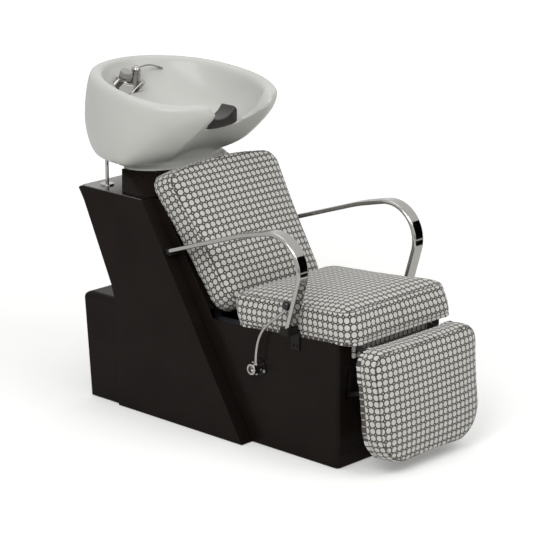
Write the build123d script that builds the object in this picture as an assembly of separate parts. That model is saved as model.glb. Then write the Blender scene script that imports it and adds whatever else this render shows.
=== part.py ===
from build123d import *
import os
from math import atan2, cos, degrees, hypot, radians, sin, sqrt, tan

os.makedirs("parts", exist_ok=True)

# A salon hair washing bed: a moulded base on a steel frame, a seat, back and leg rest in
# patterned cloth, chrome arms, a leg rest lever and a glazed basin that tips on a hinge.
# The sitter faces -Y, +X is the sitter's left and +Z is up. Lengths are in millimetres,
# and Y is counted from the front wall of the base until the parts are written out.

# Base mouldings
shell_wall = 4.0
floor_gap = 2.0
seam_gap = 0.5
rest_gap = 0.3
body_half_width = 230.0
column_half_width = 277.0
rear_box_half_width = 266.0
base_front_length = 345.0
column_top_front = 761.0
column_nose_drop = 3.0
column_nose_length = 7.0
deck_height = 688.0
column_rear_top = 1038.0
column_corner_out = 10.0
column_corner_drop = 9.0
column_chamfer_in = 24.0
column_chamfer_drop = 38.0
column_waist_depth = 130.0
column_waist_height = 395.0
rear_box_height = 342.0
rear_box_front_top = 891.0
column_foot_rear = 882.0
rear_box_rear_top = 1044.0
rear_box_rear_foot = 1017.0
rear_box_edge_radius = 20.0
front_edge_radius = 12.0
deck_plate_thickness = 3.0
deck_plate_margin = 2.0
window_half_width = 120.0

# Rear service cover and the small screws
cover_half_width = 110.0
cover_low = 70.0
cover_high = 262.0
cover_lap = 14.0
cover_thickness = 3.0
cover_hole_radius = 42.0
screw_radius = 2.5
screw_head_radius = 5.0
screw_head_height = 2.6

# Neck cowl between the deck and the basin
cowl_foot_half_width = 250.0
cowl_top_half_width = 203.0
cowl_foot_front = 752.0
cowl_foot_rear = 884.0
cowl_top_front = 801.0
cowl_top_rear = 934.0
cowl_rise = 54.0
cowl_window_half_width = 156.0
cowl_window_front = 822.0
cowl_window_rear = 924.0
cowl_top_front_radius = 112.0
cowl_corner_radius = 8.0

# Seat, back and leg rest
seat_pitch_deg = 4.1
seat_line_height = 383.0
seat_half_width = 234.0
seat_front_overhang = 61.0
seat_length = 486.0
seat_thickness = 116.0
seat_corner_radius = 46.0
seat_rear_lean = 24.0
board_thickness = 15.0
board_margin = 12.0
back_lean_deg = 34.0
back_ref_y = 648.0
back_ref_z = 564.0
back_below = 252.0
back_above = 225.0
back_top_half_width = 243.0
back_foot_half_width = 214.0
back_thickness = 90.0
back_corner_radius = 62.0
back_top_corner_radius = 52.0
back_top_draw = 16.0
back_top_arch = 15.0
back_board_thickness = 12.0
back_board_margin = 26.0
leg_hinge_y = -66.0
leg_hinge_z = 365.0
leg_pitch_deg = 6.0
leg_top_y = -62.0
leg_top_z = 378.0
leg_half_width = 236.0
leg_foot_half_width = 229.0
leg_length = 354.0
leg_thickness = 84.0
leg_corner_radius = 56.0
leg_foot_corner_radius = 110.0
leg_board_thickness = 12.0
leg_board_margin = 14.0
leg_board_top_margin = 24.0
cushion_draw = 4.0
cushion_height_shares = (0.0, 0.10, 0.30, 0.55, 0.74, 0.86, 0.94, 1.0)
cushion_shrink_shares = (0.035, 0.01, 0.0, 0.02, 0.05, 0.15, 0.38, 0.95)
seat_top_pitch_deg = 1.2

# Steel frames
tube = 30.0
tube_wall = 2.0
runner_height = 25.0
foot_height = 14.0
foot_radius = 20.0
foot_stud_radius = 5.0
foot_pad_height = 8.0
frame_half_span = 150.0
frame_front = 32.0
frame_rear = 870.0
seat_tube = 25.0
seat_frame_rear = 410.0
post_y = 850.0
post_plate_rise = 40.0
post_plate_thickness = 6.0
post_plate_half_width = 168.0
post_plate_front = 832.0
post_plate_rear = 916.0
anchor_hole_radius = 5.5
anchor_spacing_y = 560.0
anchor_y = 452.0
rail_depth = 25.0

# Leg rest linkage and hand lever
hinge_rod_radius = 5.0
knuckle_radius = 9.0
link_half_span = 190.0
crank_length = 124.0
lever_y = 315.0
lever_z = 245.0
shaft_radius = 8.0
running_clearance = 0.05
bush_wall = 2.0
bush_length = 12.0
link_pin_radius = 4.0
link_eye_radius = 10.0
link_plate = 5.0
link_height = 12.0
open_pin_clearance = 0.6
hub_radius = 17.0
hub_length = 34.0
hub_hollow_radius = 11.0
hub_hollow_depth = 14.0
flange_radius = 26.0
flange_thickness = 3.0
lever_rod_radius = 4.3
knob_radius = 15.0
knob_y = 183.0
knob_z = 468.0
link_slot_height = 92.0
leg_hinge_drop = 48.0
hinge_lug_x = 160.0

# Armrests
arm_centre_x = 257.5
arm_width = 45.0
arm_depth = 14.0
arm_wall = 1.5
arm_bend_radius = 105.0
arm_rear_radius = 700.0
arm_rear_y = 646.0
arm_rear_z = 549.0
arm_mid_y = 346.0
arm_mid_z = 652.0
arm_corner_y = 71.0
arm_corner_z = 718.0
arm_foot_y = 165.0
arm_foot_z = 400.0

# Basin
basin_wall = 9.0
rim_wall = 21.0
channel_radius = 430.0
channel_wall = 16.0
notch_y = 706.0
notch_z = 878.0
channel_foot_y = 835.0
channel_foot_z = 770.0
hull_floor = 768.0
hull_top = 1044.0
cavity_top = 955.0
foot_flange_z = 744.0
foot_flange_height = 5.0
foot_flange_half_width = 205.0
foot_flange_front = 796.0
foot_flange_rear = 1008.0
foot_flange_front_radius = 128.0
foot_flange_rear_radius = 60.0
foot_flare_height = 9.0
foot_neck_half_width = 190.0
foot_neck_front = 811.0
foot_neck_rear = 1000.0
foot_neck_front_radius = 140.0
foot_neck_rear_radius = 40.0
foot_neck_top = 822.0
foot_level_to = 905.0
basin_room_deg = 10.0
drain_y = 855.0
drain_radius = 22.0
tail_radius = 20.0
tail_foot = 700.0
tail_length = 40.0
shank_radius = 21.2
waste_passage_half_width = 45.0
waste_passage_rear = 905.0
strainer_radius = 31.0
pivot_y = 900.0
pivot_z = 750.0
pivot_pin_radius = 5.0
pivot_ear_radius = 9.0
pivot_ear_inner = 112.0
ear_plate = 6.0
boss_foot = 786.0
boss_inner = 104.0
boss_outer = 147.0
boss_front = 888.0
boss_rear = 922.0
stay_x = 218.0
stay_y = 980.0
stay_pin_z = 757.0
stay_rod_radius = 5.35
stay_pin_radius = 2.2
stay_tongue_thickness = 4.8
stay_tube_radius = 8.4
stay_tube_bore = 6.3
stay_tube_foot = 596.0
stay_rod_foot = 626.0
rosette_radius = 22.0
rosette_height = 4.0
neck_rest_half_width = 72.0
neck_rest_top = 937.0
neck_rest_low = 904.0
neck_rest_foot = 874.0
neck_rest_skin = 12.0
neck_rest_front = 696.0
neck_rest_depth = 60.0
neck_rest_lip = 9.0
horn_wall = 26.0
valance_half_width = 176.0

# Mixer and hand shower on the sloping rear deck of the basin
deck_slope_deg = 48.0
deck_ref_y = 1057.0
deck_ref_z = 930.0
tap_plate_x = -30.0
tap_plate_rise = 38.0
tap_plate_width = 104.0
tap_plate_length = 62.0
tap_plate_thickness = 3.0
tap_plate_corner = 10.0
mixer_x = 4.0
mixer_rise = 42.0
mixer_radius = 16.0
mixer_height = 30.0
mixer_lean_deg = 8.0
spout_radius = 9.0
spout_reach = 44.0
spout_drop = 4.0
spout_pitch_deg = 48.0
cap_radius = 15.0
cap_height = 26.0
lever_arm_reach = 112.0
lever_arm_radius = 3.0
shower_x = -54.0
shower_rise = 58.0
holder_radius = 15.0
holder_height = 16.0
shower_grip_radius = 10.0
shower_head_radius = 19.0
shower_grip_depth = 34.0
shower_head_height = 30.0
inlet_radius = 8.33
inlet_length = 20.0
inlet_spacing = 36.0
inlet_rise = 24.0
inlet_stub_radius = 6.5
inlet_stub_length = 16.0
inlet_block = 20.0
hose_window_half_width = 45.0
hose_window_front = 1085.0
hose_window_rear = 1145.0
half_turn_deg = 180.0
cut_over = 20.0

# Worked out places
cowl_top_height = deck_height + cowl_rise
post_plate_height = deck_height + post_plate_rise
stay_tube_top = deck_height + rosette_height
seat_tilt = radians(seat_pitch_deg)
back_up = (cos(radians(90 - back_lean_deg)), sin(radians(90 - back_lean_deg)))
front_reach = (leg_top_y - leg_length * sin(radians(leg_pitch_deg))
               - leg_thickness * cos(radians(leg_pitch_deg)))


def seat_line(y):
    """Height of the plane under the seat cushion at a distance from the front wall."""
    return seat_line_height - y * tan(seat_tilt)


def back_point(along, out):
    """A point of the back's side view: along the recline, and out towards the sitter."""
    return (back_ref_y + along * back_up[0] - out * back_up[1],
            back_ref_z + along * back_up[1] + out * back_up[0])


def block(x0, x1, y0, y1, z0, z1):
    """A box between two corners."""
    return Pos((x0 + x1) / 2, (y0 + y1) / 2, (z0 + z1) / 2) * Box(x1 - x0, y1 - y0, z1 - z0)


def rod_x(x0, x1, y, z, radius):
    """A round bar along X."""
    return Pos((x0 + x1) / 2, y, z) * Rot(0, 90, 0) * Cylinder(radius, abs(x1 - x0))


def rod_z(x, y, z0, z1, radius):
    """A round bar along Z."""
    return Pos(x, y, (z0 + z1) / 2) * Cylinder(radius, z1 - z0)


def side_prism(points, x0, x1, radii=None):
    """A side view outline in Y and Z, run from x0 to x1, with its corners rounded if asked."""
    if radii:
        outline = make_face(Polyline(*points, close=True))
        corners = outline.vertices()
        for point, radius in zip(points, radii):
            if radius:
                near = min(corners, key=lambda v: hypot(v.X - point[0], v.Y - point[1]))
                outline = fillet(near, radius)
                corners = outline.vertices()
    else:
        outline = make_face(Polyline(*points, close=True))
    return extrude(Plane.YZ.offset(x0) * outline, amount=x1 - x0, dir=(1, 0, 0))


def pair(part):
    """A piece and its mirror image on the other side, as two solids."""
    return Compound(children=list(part.solids()) + list(mirror(part, Plane.YZ).solids()))


def group(*parts):
    """Separate solids of one sub-part."""
    return Compound(children=[solid for part in parts for solid in part.solids()])


def box_tube(x0, x1, y0, y1, z0, z1, axis):
    """A square or flat tube of sheet steel between two corners, open at its ends."""
    inner = [x0 + tube_wall, x1 - tube_wall, y0 + tube_wall, y1 - tube_wall, z0 + tube_wall,
             z1 - tube_wall]
    inner[2 * axis] -= 2 * tube_wall
    inner[2 * axis + 1] += 2 * tube_wall
    return block(x0, x1, y0, y1, z0, z1) - block(*inner)


# The column's side view, from its front foot round by the top and the rear
column_outline = [
    (base_front_length, floor_gap),
    (column_top_front, deck_height - deck_plate_thickness - column_nose_drop),
    (column_top_front + column_nose_length, deck_height - deck_plate_thickness),
    (column_rear_top, deck_height - deck_plate_thickness),
    (column_rear_top + column_corner_out, deck_height - column_corner_drop),
    (column_rear_top + column_corner_out - column_chamfer_in,
     deck_height - column_corner_drop - column_chamfer_drop),
    (column_rear_top - column_waist_depth, column_waist_height),
    (rear_box_front_top, rear_box_height),
    (column_foot_rear, floor_gap),
]
column_front_slope = (column_top_front - base_front_length) / (
    deck_height - deck_plate_thickness - column_nose_drop - floor_gap)


def column_front(z):
    """Where the column's slanted front edge is at a height."""
    return base_front_length + (z - floor_gap) * column_front_slope


def inset_outline(points, amount):
    """The same outline moved inwards by a wall."""
    face = make_face(Polyline(*points, close=True))
    return offset(face, amount=-amount, kind=Kind.INTERSECTION)


def floor_frame():
    """Welded base frame of flat tube with anchor holes in its two runners."""
    low, high = foot_height, foot_height + runner_height
    frame = Part()
    for side in (-1, 1):
        centre = side * frame_half_span
        frame += box_tube(centre - tube / 2, centre + tube / 2, frame_front, frame_rear, low, high, 1)
    span = frame_half_span - tube / 2 + tube_wall
    for y in (frame_front, (frame_front + frame_rear) / 2, frame_rear - tube * 3):
        frame += box_tube(-span, span, y, y + tube, low, high, 0)
    for side in (-1, 1):
        for step in (-1, 1):
            y = anchor_y + step * anchor_spacing_y / 2
            frame -= rod_z(side * frame_half_span, y, low - cut_over, high + cut_over, anchor_hole_radius)
    return frame


def levelling_feet():
    """Six screw feet under the runners, each a pad on a stud."""
    feet = []
    for side in (-1, 1):
        for y in (frame_front + tube * 2, (frame_front + frame_rear) / 2 + tube / 2, frame_rear - tube * 2):
            x = side * frame_half_span
            pad = rod_z(x, y, 0, foot_pad_height, foot_radius)
            pad = fillet(pad.edges().filter_by(GeomType.CIRCLE).group_by(Axis.Z)[-1], foot_pad_height / 4)
            feet.append(pad + rod_z(x, y, foot_pad_height / 2, foot_height, foot_stud_radius))
    return group(*feet)


def front_box_shell():
    """Front part of the base: front wall and two sides, open at the top, bottom and rear."""
    rear = column_front(seat_line(base_front_length + column_nose_length)) + tube * 3
    top_front = seat_line(0) - rest_gap
    top_rear = seat_line(rear) - rest_gap
    points = [(0, floor_gap), (0, top_front), (rear, top_rear), (rear, floor_gap)]
    outer = side_prism(points, -body_half_width, body_half_width)
    front_edges = [e for e in outer.edges().filter_by(Axis.Z) if abs(e.center().Y) < seam_gap]
    outer = fillet(front_edges, front_edge_radius)
    inner = block(shell_wall - body_half_width, body_half_width - shell_wall, shell_wall,
                  rear + cut_over, -cut_over, top_front + cut_over)
    shell = outer - inner
    slot_low = lever_z - shaft_radius * 4.8
    for side in (-1, 1):
        x = side * link_half_span
        shell -= block(x - link_eye_radius, x + link_eye_radius, -cut_over, cut_over,
                       slot_low, slot_low + link_slot_height)
    return shell - rod_x(-body_half_width - cut_over, -body_half_width + cut_over, lever_y, lever_z,
                         shaft_radius + bush_wall + running_clearance * 2)


def back_shell():
    """Side cheeks and a recessed panel behind the back cushion, open at the rear."""
    half = body_half_width + seam_gap * 4
    low = seat_line(column_front(seat_line(base_front_length)))
    edge_top = back_point(0, -1)
    slope = back_up[0] / back_up[1]
    deck = deck_height - deck_plate_thickness
    front_top = edge_top[0] + (deck - edge_top[1]) * slope
    knee_z = low + back_corner_radius
    knee_y = edge_top[0] + (knee_z - edge_top[1]) * slope
    rear_top = column_front(deck) + tube * 1.4
    rear_low = column_front(low) + tube * 1.4
    toe = seat_length - seat_front_overhang + board_margin * 1.5
    points = [(toe, seat_line(toe)), (knee_y - back_corner_radius / 2, low + back_corner_radius / 5),
              (knee_y, knee_z), (front_top, deck), (rear_top, deck),
              (rear_low, seat_line(rear_low))]
    cheeks = side_prism(points, -half, half) - side_prism(
        [(0, 0), (0, deck + cut_over), (rear_top * 2, deck + cut_over), (rear_top * 2, 0)],
        shell_wall - half, half - shell_wall)
    front = -back_board_thickness - rest_gap
    rear = front - shell_wall
    panel_low = -back_below + back_corner_radius / 2
    panel_high = (deck - back_ref_z) / back_up[1] - shell_wall * 2
    panel = side_prism([back_point(panel_low, front), back_point(panel_high, front),
                        back_point(panel_high, rear), back_point(panel_low, rear)],
                       -half + shell_wall / 2, half - shell_wall / 2)
    over, under = front + cut_over, rear - cut_over
    window = side_prism([back_point(panel_low * 0.6, over), back_point(panel_high * 0.5, over),
                         back_point(panel_high * 0.5, under), back_point(panel_low * 0.6, under)],
                        -window_half_width, window_half_width)
    return cheeks + panel - window


def column_shell():
    """Wide outer column: side cheeks, slanted front flanges, top ledge and rear wall."""
    outer = side_prism(column_outline, -column_half_width, column_half_width)
    inner_face = inset_outline(column_outline, shell_wall)
    inner_half = column_half_width - shell_wall
    inner = extrude(Plane.YZ.offset(-inner_half) * inner_face, amount=2 * inner_half, dir=(1, 0, 0))
    foot = block(-inner_half, inner_half, base_front_length + shell_wall * 2,
                 column_foot_rear - shell_wall * 2, -cut_over, floor_gap + shell_wall * 2)
    passage_half = body_half_width + seam_gap * 5
    passage = block(-passage_half, passage_half, 0, column_foot_rear - shell_wall * 2, -cut_over,
                    deck_height + cut_over)
    shell = outer - inner - foot - passage
    for side in (-1, 1):
        shell -= rod_z(side * stay_x, stay_y, deck_height - cut_over, deck_height + cut_over,
                       stay_tube_radius + seam_gap)
    window = block(-window_half_width, window_half_width, column_foot_rear - shell_wall * 3,
                   column_foot_rear + shell_wall * 4, -cut_over, rear_box_height * 0.8)
    return shell - window - waste_passage()


def waste_passage():
    """What is cut from the ledge round the basin's waste, with room for it to tilt."""
    half = waste_passage_half_width
    return block(-half, half, drain_y, waste_passage_rear, deck_height - cut_over,
                 deck_height + cut_over)


def ledge_plate():
    """Polished plate on the column's ledge, round three sides of the cowl's foot."""
    half = column_half_width - deck_plate_margin
    low = deck_height - deck_plate_thickness
    front = column_top_front + column_nose_length
    plate = block(-half, half, front, column_rear_top - deck_plate_margin, low, deck_height)
    plate = fillet(plate.edges().filter_by(Axis.Z).group_by(Axis.Y)[-1], deck_plate_margin * 4)
    inner = body_half_width + seam_gap * 5
    plate -= block(-inner, inner, front - cut_over, column_foot_rear - shell_wall * 2, low - cut_over,
                   deck_height + cut_over)
    for side in (-1, 1):
        plate -= rod_z(side * stay_x, stay_y, low - cut_over, deck_height + cut_over,
                       stay_tube_radius + seam_gap)
    return plate - waste_passage()


def cowl_level(z, half_width, front, rear, front_radius, rear_radius):
    """A level outline of the cowl with its own radius at the front and rear corners."""
    outline = Pos(0, (front + rear) / 2, z) * Rectangle(2 * half_width, rear - front)
    outline = fillet(outline.vertices().group_by(Axis.Y)[0], front_radius)
    return fillet(outline.vertices().group_by(Axis.Y)[-1], rear_radius)


def neck_cowl():
    """Tapered cowl from the ledge up to the basin, open below and with a window on top."""
    radius, wall = cowl_corner_radius, shell_wall
    outer = loft([cowl_level(deck_height, cowl_foot_half_width, cowl_foot_front, cowl_foot_rear,
                             cowl_top_front_radius / 2, radius),
                  cowl_level(cowl_top_height, cowl_top_half_width, cowl_top_front, cowl_top_rear,
                             cowl_top_front_radius, radius)])
    inner = loft([cowl_level(deck_height, cowl_foot_half_width - wall, cowl_foot_front + wall,
                             cowl_foot_rear - wall, cowl_top_front_radius / 2 - wall, radius - wall),
                  cowl_level(cowl_top_height - wall, cowl_top_half_width - wall, cowl_top_front + wall,
                             cowl_top_rear - wall, cowl_top_front_radius - wall, radius - wall)])
    window = block(-cowl_window_half_width, cowl_window_half_width, cowl_window_front, cowl_window_rear,
                   deck_height, cowl_top_height + cut_over)
    return outer - inner - window


def rear_box_outline(inset):
    """Side view of the rear box, drawn in by a wall."""
    lean = (rear_box_rear_top - rear_box_rear_foot) / rear_box_height
    front = column_foot_rear + rest_gap
    return [(front - inset * 3, floor_gap - inset * 3),
            (rear_box_front_top + rest_gap - inset * 3, rear_box_height - inset),
            (rear_box_rear_top - inset, rear_box_height - inset),
            (rear_box_rear_foot - inset - inset * 3 * lean, floor_gap - inset * 3)]


def rear_box_shell():
    """Low box behind the column: top, sides and a rear wall with a service opening."""
    outer = side_prism(rear_box_outline(0), -rear_box_half_width, rear_box_half_width)
    top_edges = [e for e in outer.edges() if abs(e.center().Z - rear_box_height) < seam_gap
                 and e.center().Y > rear_box_front_top + shell_wall]
    outer = fillet(top_edges, rear_box_edge_radius)
    half = rear_box_half_width - shell_wall
    inner = side_prism(rear_box_outline(shell_wall), -half, half)
    inner_top = rear_box_height - shell_wall
    top_edges = [e for e in inner.edges() if abs(e.center().Z - inner_top) < seam_gap
                 and e.center().Y > rear_box_front_top + shell_wall]
    inner = fillet(top_edges, rear_box_edge_radius - shell_wall)
    opening = block(-cover_half_width + cover_lap, cover_half_width - cover_lap,
                    rear_box_rear_foot - cut_over * 2, rear_box_rear_top + cut_over,
                    cover_low + cover_lap, cover_high - cover_lap)
    shell = outer - inner - opening
    for x, z in cover_screw_places():
        shell -= along_rear_wall(Cylinder(screw_radius, cut_over * 2), x, z)
    return shell


def rear_wall_y(z):
    """Where the rear box's leaning rear wall is at a height."""
    share = (z - floor_gap) / (rear_box_height - floor_gap)
    return rear_box_rear_foot + (rear_box_rear_top - rear_box_rear_foot) * share


def along_rear_wall(part, x, z):
    """A piece whose Z axis stands square out of the rear wall at a place."""
    lean = degrees(atan2(rear_box_rear_top - rear_box_rear_foot, rear_box_height - floor_gap))
    return Pos(x, rear_wall_y(z), z) * Rot(-90 - lean, 0, 0) * part


def cover_screw_places():
    """The cover's four corner screws."""
    inset = cover_lap / 2
    return [(side * (cover_half_width - inset), z) for side in (-1, 1)
            for z in (cover_low + inset, cover_high - inset)]


def rear_access_cover():
    """Flat cover on the rear wall with a round pass-through for the salon's pipes."""
    middle = (cover_low + cover_high) / 2
    plate = RectangleRounded(2 * cover_half_width, cover_high - cover_low, cover_lap / 2)
    plate = plate - Pos(0, (cover_low - middle) / 3, 0) * Circle(cover_hole_radius)
    cover = along_rear_wall(Pos(0, 0, 0) * extrude(plate, amount=cover_thickness), 0, middle)
    for x, z in cover_screw_places():
        cover -= along_rear_wall(Cylinder(screw_radius, cut_over * 2), x, z)
    return cover


def screw(radius, length, head_radius, head_height):
    """A pan head screw along Z with its head above zero."""
    head = Pos(0, 0, head_height / 2) * Cylinder(head_radius, head_height)
    head = fillet(head.edges().group_by(Axis.Z)[-1], head_height / 3)
    slot = Pos(0, 0, head_height) * Box(head_radius * 1.3, head_height / 3, head_height / 2)
    cross = Pos(0, 0, head_height) * Box(head_height / 3, head_radius * 1.3, head_height / 2)
    shank = Pos(0, 0, -length / 2) * Cylinder(radius - running_clearance, length)
    return head + shank - slot - cross


def cover_screws():
    """Four pan head screws of the rear cover."""
    places = []
    for x, z in cover_screw_places():
        one = Pos(0, 0, cover_thickness) * screw(screw_radius, cover_thickness + shell_wall,
                                                 screw_head_radius, screw_head_height)
        places.append(along_rear_wall(one, x, z))
    return group(*places)


def front_valance():
    """Cloth covered panel on the front wall between the seat and the leg rest."""
    thick = board_margin
    top = seat_line(0) - seam_gap * 3
    low = leg_top_z - leg_hinge_drop
    panel = block(-valance_half_width, valance_half_width, -thick - rest_gap, -rest_gap, low, top)
    return fillet(panel.edges().filter_by(Axis.X).group_by(Axis.Y)[0], thick / 4)


def on_seat(part):
    """Puts a piece drawn on the seat's own level plane onto the pitched seat."""
    return Pos(0, 0, seat_line_height) * Rot(-seat_pitch_deg, 0, 0) * part


def seat_frame():
    """Steel frame under the seat with legs down to the floor frame and hinge lugs in front."""
    top = -board_thickness
    low = top - seat_tube
    long_half = frame_half_span
    cross_half = body_half_width - shell_wall - rest_gap
    level = Part()
    for side in (-1, 1):
        x = side * long_half
        level += box_tube(x - seat_tube / 2, x + seat_tube / 2, shell_wall * 2, seat_frame_rear, low, top, 1)
    for y in (shell_wall * 2, seat_frame_rear - seat_tube):
        level += box_tube(-cross_half, cross_half, y, y + seat_tube, low, top, 0)
    frame = on_seat(level)
    for side in (-1, 1):
        x = side * long_half
        for y in (shell_wall * 3 + tube, seat_frame_rear - seat_tube):
            leg_top = seat_line(y) + low + tube_wall
            frame += box_tube(x - seat_tube / 2, x + seat_tube / 2, y - seat_tube / 2, y + seat_tube / 2,
                              foot_height + runner_height, leg_top, 2)
        plate_x = x - ear_plate / 2
        plate_top = seat_line(lever_y + tube) + low + tube_wall
        shaft_plate = side_prism(
            [(lever_y - tube, plate_top), (lever_y - tube * 0.7, lever_z - tube * 0.7),
             (lever_y + tube * 0.7, lever_z - tube * 0.7), (lever_y + tube, plate_top)],
            plate_x, plate_x + ear_plate)
        frame += shaft_plate
        frame -= rod_x(plate_x - cut_over, plate_x + ear_plate + cut_over, lever_y, lever_z,
                       shaft_radius + bush_wall + running_clearance * 2)
    return frame + hinge_lugs()


def hinge_lugs():
    """Lugs that reach out under the seat's front and hold the hinge rod, in slots of the wall."""
    lugs = Part()
    root_y = shell_wall * 2 + seat_tube / 2
    for x in (-hinge_lug_x, hinge_lug_x):
        root_z = seat_line(root_y) - board_thickness - seat_tube / 2
        arm = side_prism([(root_y, root_z - knuckle_radius), (leg_hinge_y, leg_hinge_z - knuckle_radius),
                          (leg_hinge_y, leg_hinge_z), (root_y, root_z + knuckle_radius)],
                         x - ear_plate / 2, x + ear_plate / 2)
        lugs += arm + rod_x(x - ear_plate / 2, x + ear_plate / 2, leg_hinge_y, leg_hinge_z,
                            knuckle_radius)
    for x in (-hinge_lug_x, hinge_lug_x):
        lugs -= rod_x(x - ear_plate, x + ear_plate, leg_hinge_y, leg_hinge_z,
                      hinge_rod_radius + running_clearance)
    return lugs


def front_openings():
    """What is cut from the front wall and the valance for the hinge lugs."""
    cuts = []
    for x in (-hinge_lug_x, hinge_lug_x):
        cuts.append(block(x - ear_plate, x + ear_plate, -cut_over, cut_over / 2,
                          leg_hinge_z - knuckle_radius * 3, leg_hinge_z + knuckle_radius / 3))
    return cuts


def shaft_bushes():
    """Nylon bushes of the lever shaft in the two frame plates and the shell wall."""
    bushes = []
    for x in (-frame_half_span, frame_half_span):
        bushes.append(rod_x(x - bush_length / 2, x + bush_length / 2, lever_y, lever_z,
                            shaft_radius + bush_wall + running_clearance)
                      - rod_x(x - bush_length, x + bush_length, lever_y, lever_z,
                              shaft_radius + running_clearance))
    return group(*bushes)


def lever_flange():
    """Chrome flange on the near side wall that carries the shaft's outer end."""
    face = -body_half_width - seam_gap / 2
    plate = rod_x(face - flange_thickness, face, lever_y, lever_z, flange_radius)
    for place in flange_screw_places():
        plate += rod_x(face - flange_thickness, face, place[0], place[1], screw_head_radius * 1.6)
    sleeve = rod_x(face - flange_thickness, -body_half_width + shell_wall + bush_wall, lever_y, lever_z,
                   shaft_radius + bush_wall)
    flange = plate + sleeve - rod_x(face - cut_over, face + cut_over, lever_y, lever_z,
                                    shaft_radius + running_clearance)
    for place in flange_screw_places():
        flange -= rod_x(face - cut_over, face + cut_over, place[0], place[1], screw_radius)
    return flange


def flange_screw_places():
    """Three screws round the flange."""
    reach = flange_radius - screw_head_radius / 2
    return [(lever_y + reach * cos(radians(turn)), lever_z + reach * sin(radians(turn)))
            for turn in (20, 200, 290)]


def flange_screws():
    """Screws of the lever flange."""
    face = -body_half_width - seam_gap / 2 - flange_thickness
    return group(*[Pos(face, y, z) * Rot(0, -90, 0) * screw(screw_radius, flange_thickness,
                                                            screw_head_radius, screw_head_height)
                   for y, z in flange_screw_places()])


def lever_shaft():
    """Cross shaft of the hand lever."""
    return rod_x(-body_half_width - hub_length + hub_hollow_depth, link_half_span + ear_plate * 2, lever_y,
                 lever_z, shaft_radius)


def crank_arms():
    """Two cranks clamped on the shaft, hanging straight down to the push links."""
    cranks = []
    for side in (-1, 1):
        x0 = side * link_half_span - ear_plate / 2
        x1 = x0 + ear_plate
        arm = block(x0, x1, lever_y - link_eye_radius * 0.8, lever_y + link_eye_radius * 0.8,
                    lever_z - crank_length, lever_z)
        arm += rod_x(x0, x1, lever_y, lever_z - crank_length, link_eye_radius)
        arm += rod_x(x0 - ear_plate / 2, x1 + ear_plate / 2, lever_y, lever_z, shaft_radius + bush_wall * 3)
        arm -= rod_x(x0 - cut_over, x1 + cut_over, lever_y, lever_z, shaft_radius)
        arm -= rod_x(x0 - cut_over, x1 + cut_over, lever_y, lever_z - crank_length, link_pin_radius)
        cranks.append(arm)
    return group(*cranks)


def link_side(side):
    """Middle plane of a push link, inboard of its crank."""
    return side * (link_half_span - ear_plate / 2 - link_plate / 2 - seam_gap)


def push_links():
    """Two flat bars from the cranks to the leg rest brackets."""
    links = []
    start = (lever_y, lever_z - crank_length)
    end = (leg_hinge_y, leg_hinge_z - crank_length)
    angle = degrees(atan2(end[1] - start[1], end[0] - start[0]))
    length = hypot(end[0] - start[0], end[1] - start[1])
    for side in (-1, 1):
        x = link_side(side)
        x0, x1 = x - link_plate / 2, x + link_plate / 2
        face = Pos(*start) * Rot(0, 0, angle) * Pos(length / 2, 0) * Rectangle(length, link_height)
        run = extrude(Plane.YZ.offset(x0) * face, amount=link_plate, dir=(1, 0, 0))
        bar = run + rod_x(x0, x1, start[0], start[1], link_eye_radius)
        bar += rod_x(x0, x1, end[0], end[1], link_eye_radius)
        bar -= rod_x(x0 - cut_over, x1 + cut_over, start[0], start[1], link_pin_radius + running_clearance)
        bar -= rod_x(x0 - cut_over, x1 + cut_over, end[0], end[1], link_pin_radius + open_pin_clearance)
        links.append(bar)
    return group(*links)


def headed_pin(x0, x1, y, z, radius):
    """A clevis pin along X with a head at each end."""
    head = radius * 0.6
    pin = rod_x(x0, x1, y, z, radius)
    pin += rod_x(x0 - head, x0, y, z, radius * 1.6)
    return pin + rod_x(x1, x1 + head, y, z, radius * 1.6)


def pin_span(side):
    """The stretch of X that a link pin passes through, crank or ear and link together."""
    outer = side * (link_half_span + ear_plate / 2 + rest_gap)
    inner = side * (link_half_span - ear_plate / 2 - link_plate - seam_gap - rest_gap)
    return min(outer, inner), max(outer, inner)


def crank_pins():
    """Pins that join the cranks to the push links."""
    return group(*[headed_pin(*pin_span(side), lever_y, lever_z - crank_length,
                              link_pin_radius) for side in (-1, 1)])


def leg_rest_pins():
    """Pins that join the push links to the leg rest brackets."""
    return group(*[headed_pin(*pin_span(side), leg_hinge_y, leg_hinge_z - crank_length,
                              link_pin_radius) for side in (-1, 1)])


def lever_hub():
    """Turned hub of the hand lever, hollow at its outer end."""
    inner = -body_half_width - seam_gap / 2 - flange_thickness - seam_gap
    outer = inner - hub_length
    hub = rod_x(outer, inner, lever_y, lever_z, hub_radius)
    hub = fillet(hub.edges().filter_by(GeomType.CIRCLE), hub_radius / 12)
    hub -= rod_x(outer - cut_over, outer + hub_hollow_depth, lever_y, lever_z, hub_hollow_radius)
    hub -= rod_x(outer, inner + cut_over, lever_y, lever_z, shaft_radius)
    top = Pos(lever_plane_x(), lever_y - hub_radius / 3, lever_z + hub_radius)
    return hub + top * Cylinder(lever_rod_radius * 1.6, hub_radius / 2) - top * Cylinder(
        lever_rod_radius + running_clearance, hub_radius * 0.8)


def lever_plane_x():
    """The plane that the hand lever's rod lies in."""
    return -body_half_width - flange_thickness - hub_length * 0.55


def lever_rod():
    """Bent chrome rod from the hub up to the ball."""
    x = lever_plane_x()
    start = (x, lever_y - hub_radius / 3, lever_z + hub_radius * 0.9)
    end = (x, knob_y, knob_z - knob_radius * 0.6)
    mid = (x, lever_y - hub_radius * 1.9, lever_z + hub_radius * 7.2)
    path = Spline(start, mid, end, tangents=[(0, 0, 1), (0, -1, 1.02)])
    return sweep(Plane(origin=path @ 0, z_dir=path % 0) * Circle(lever_rod_radius), path)


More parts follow.
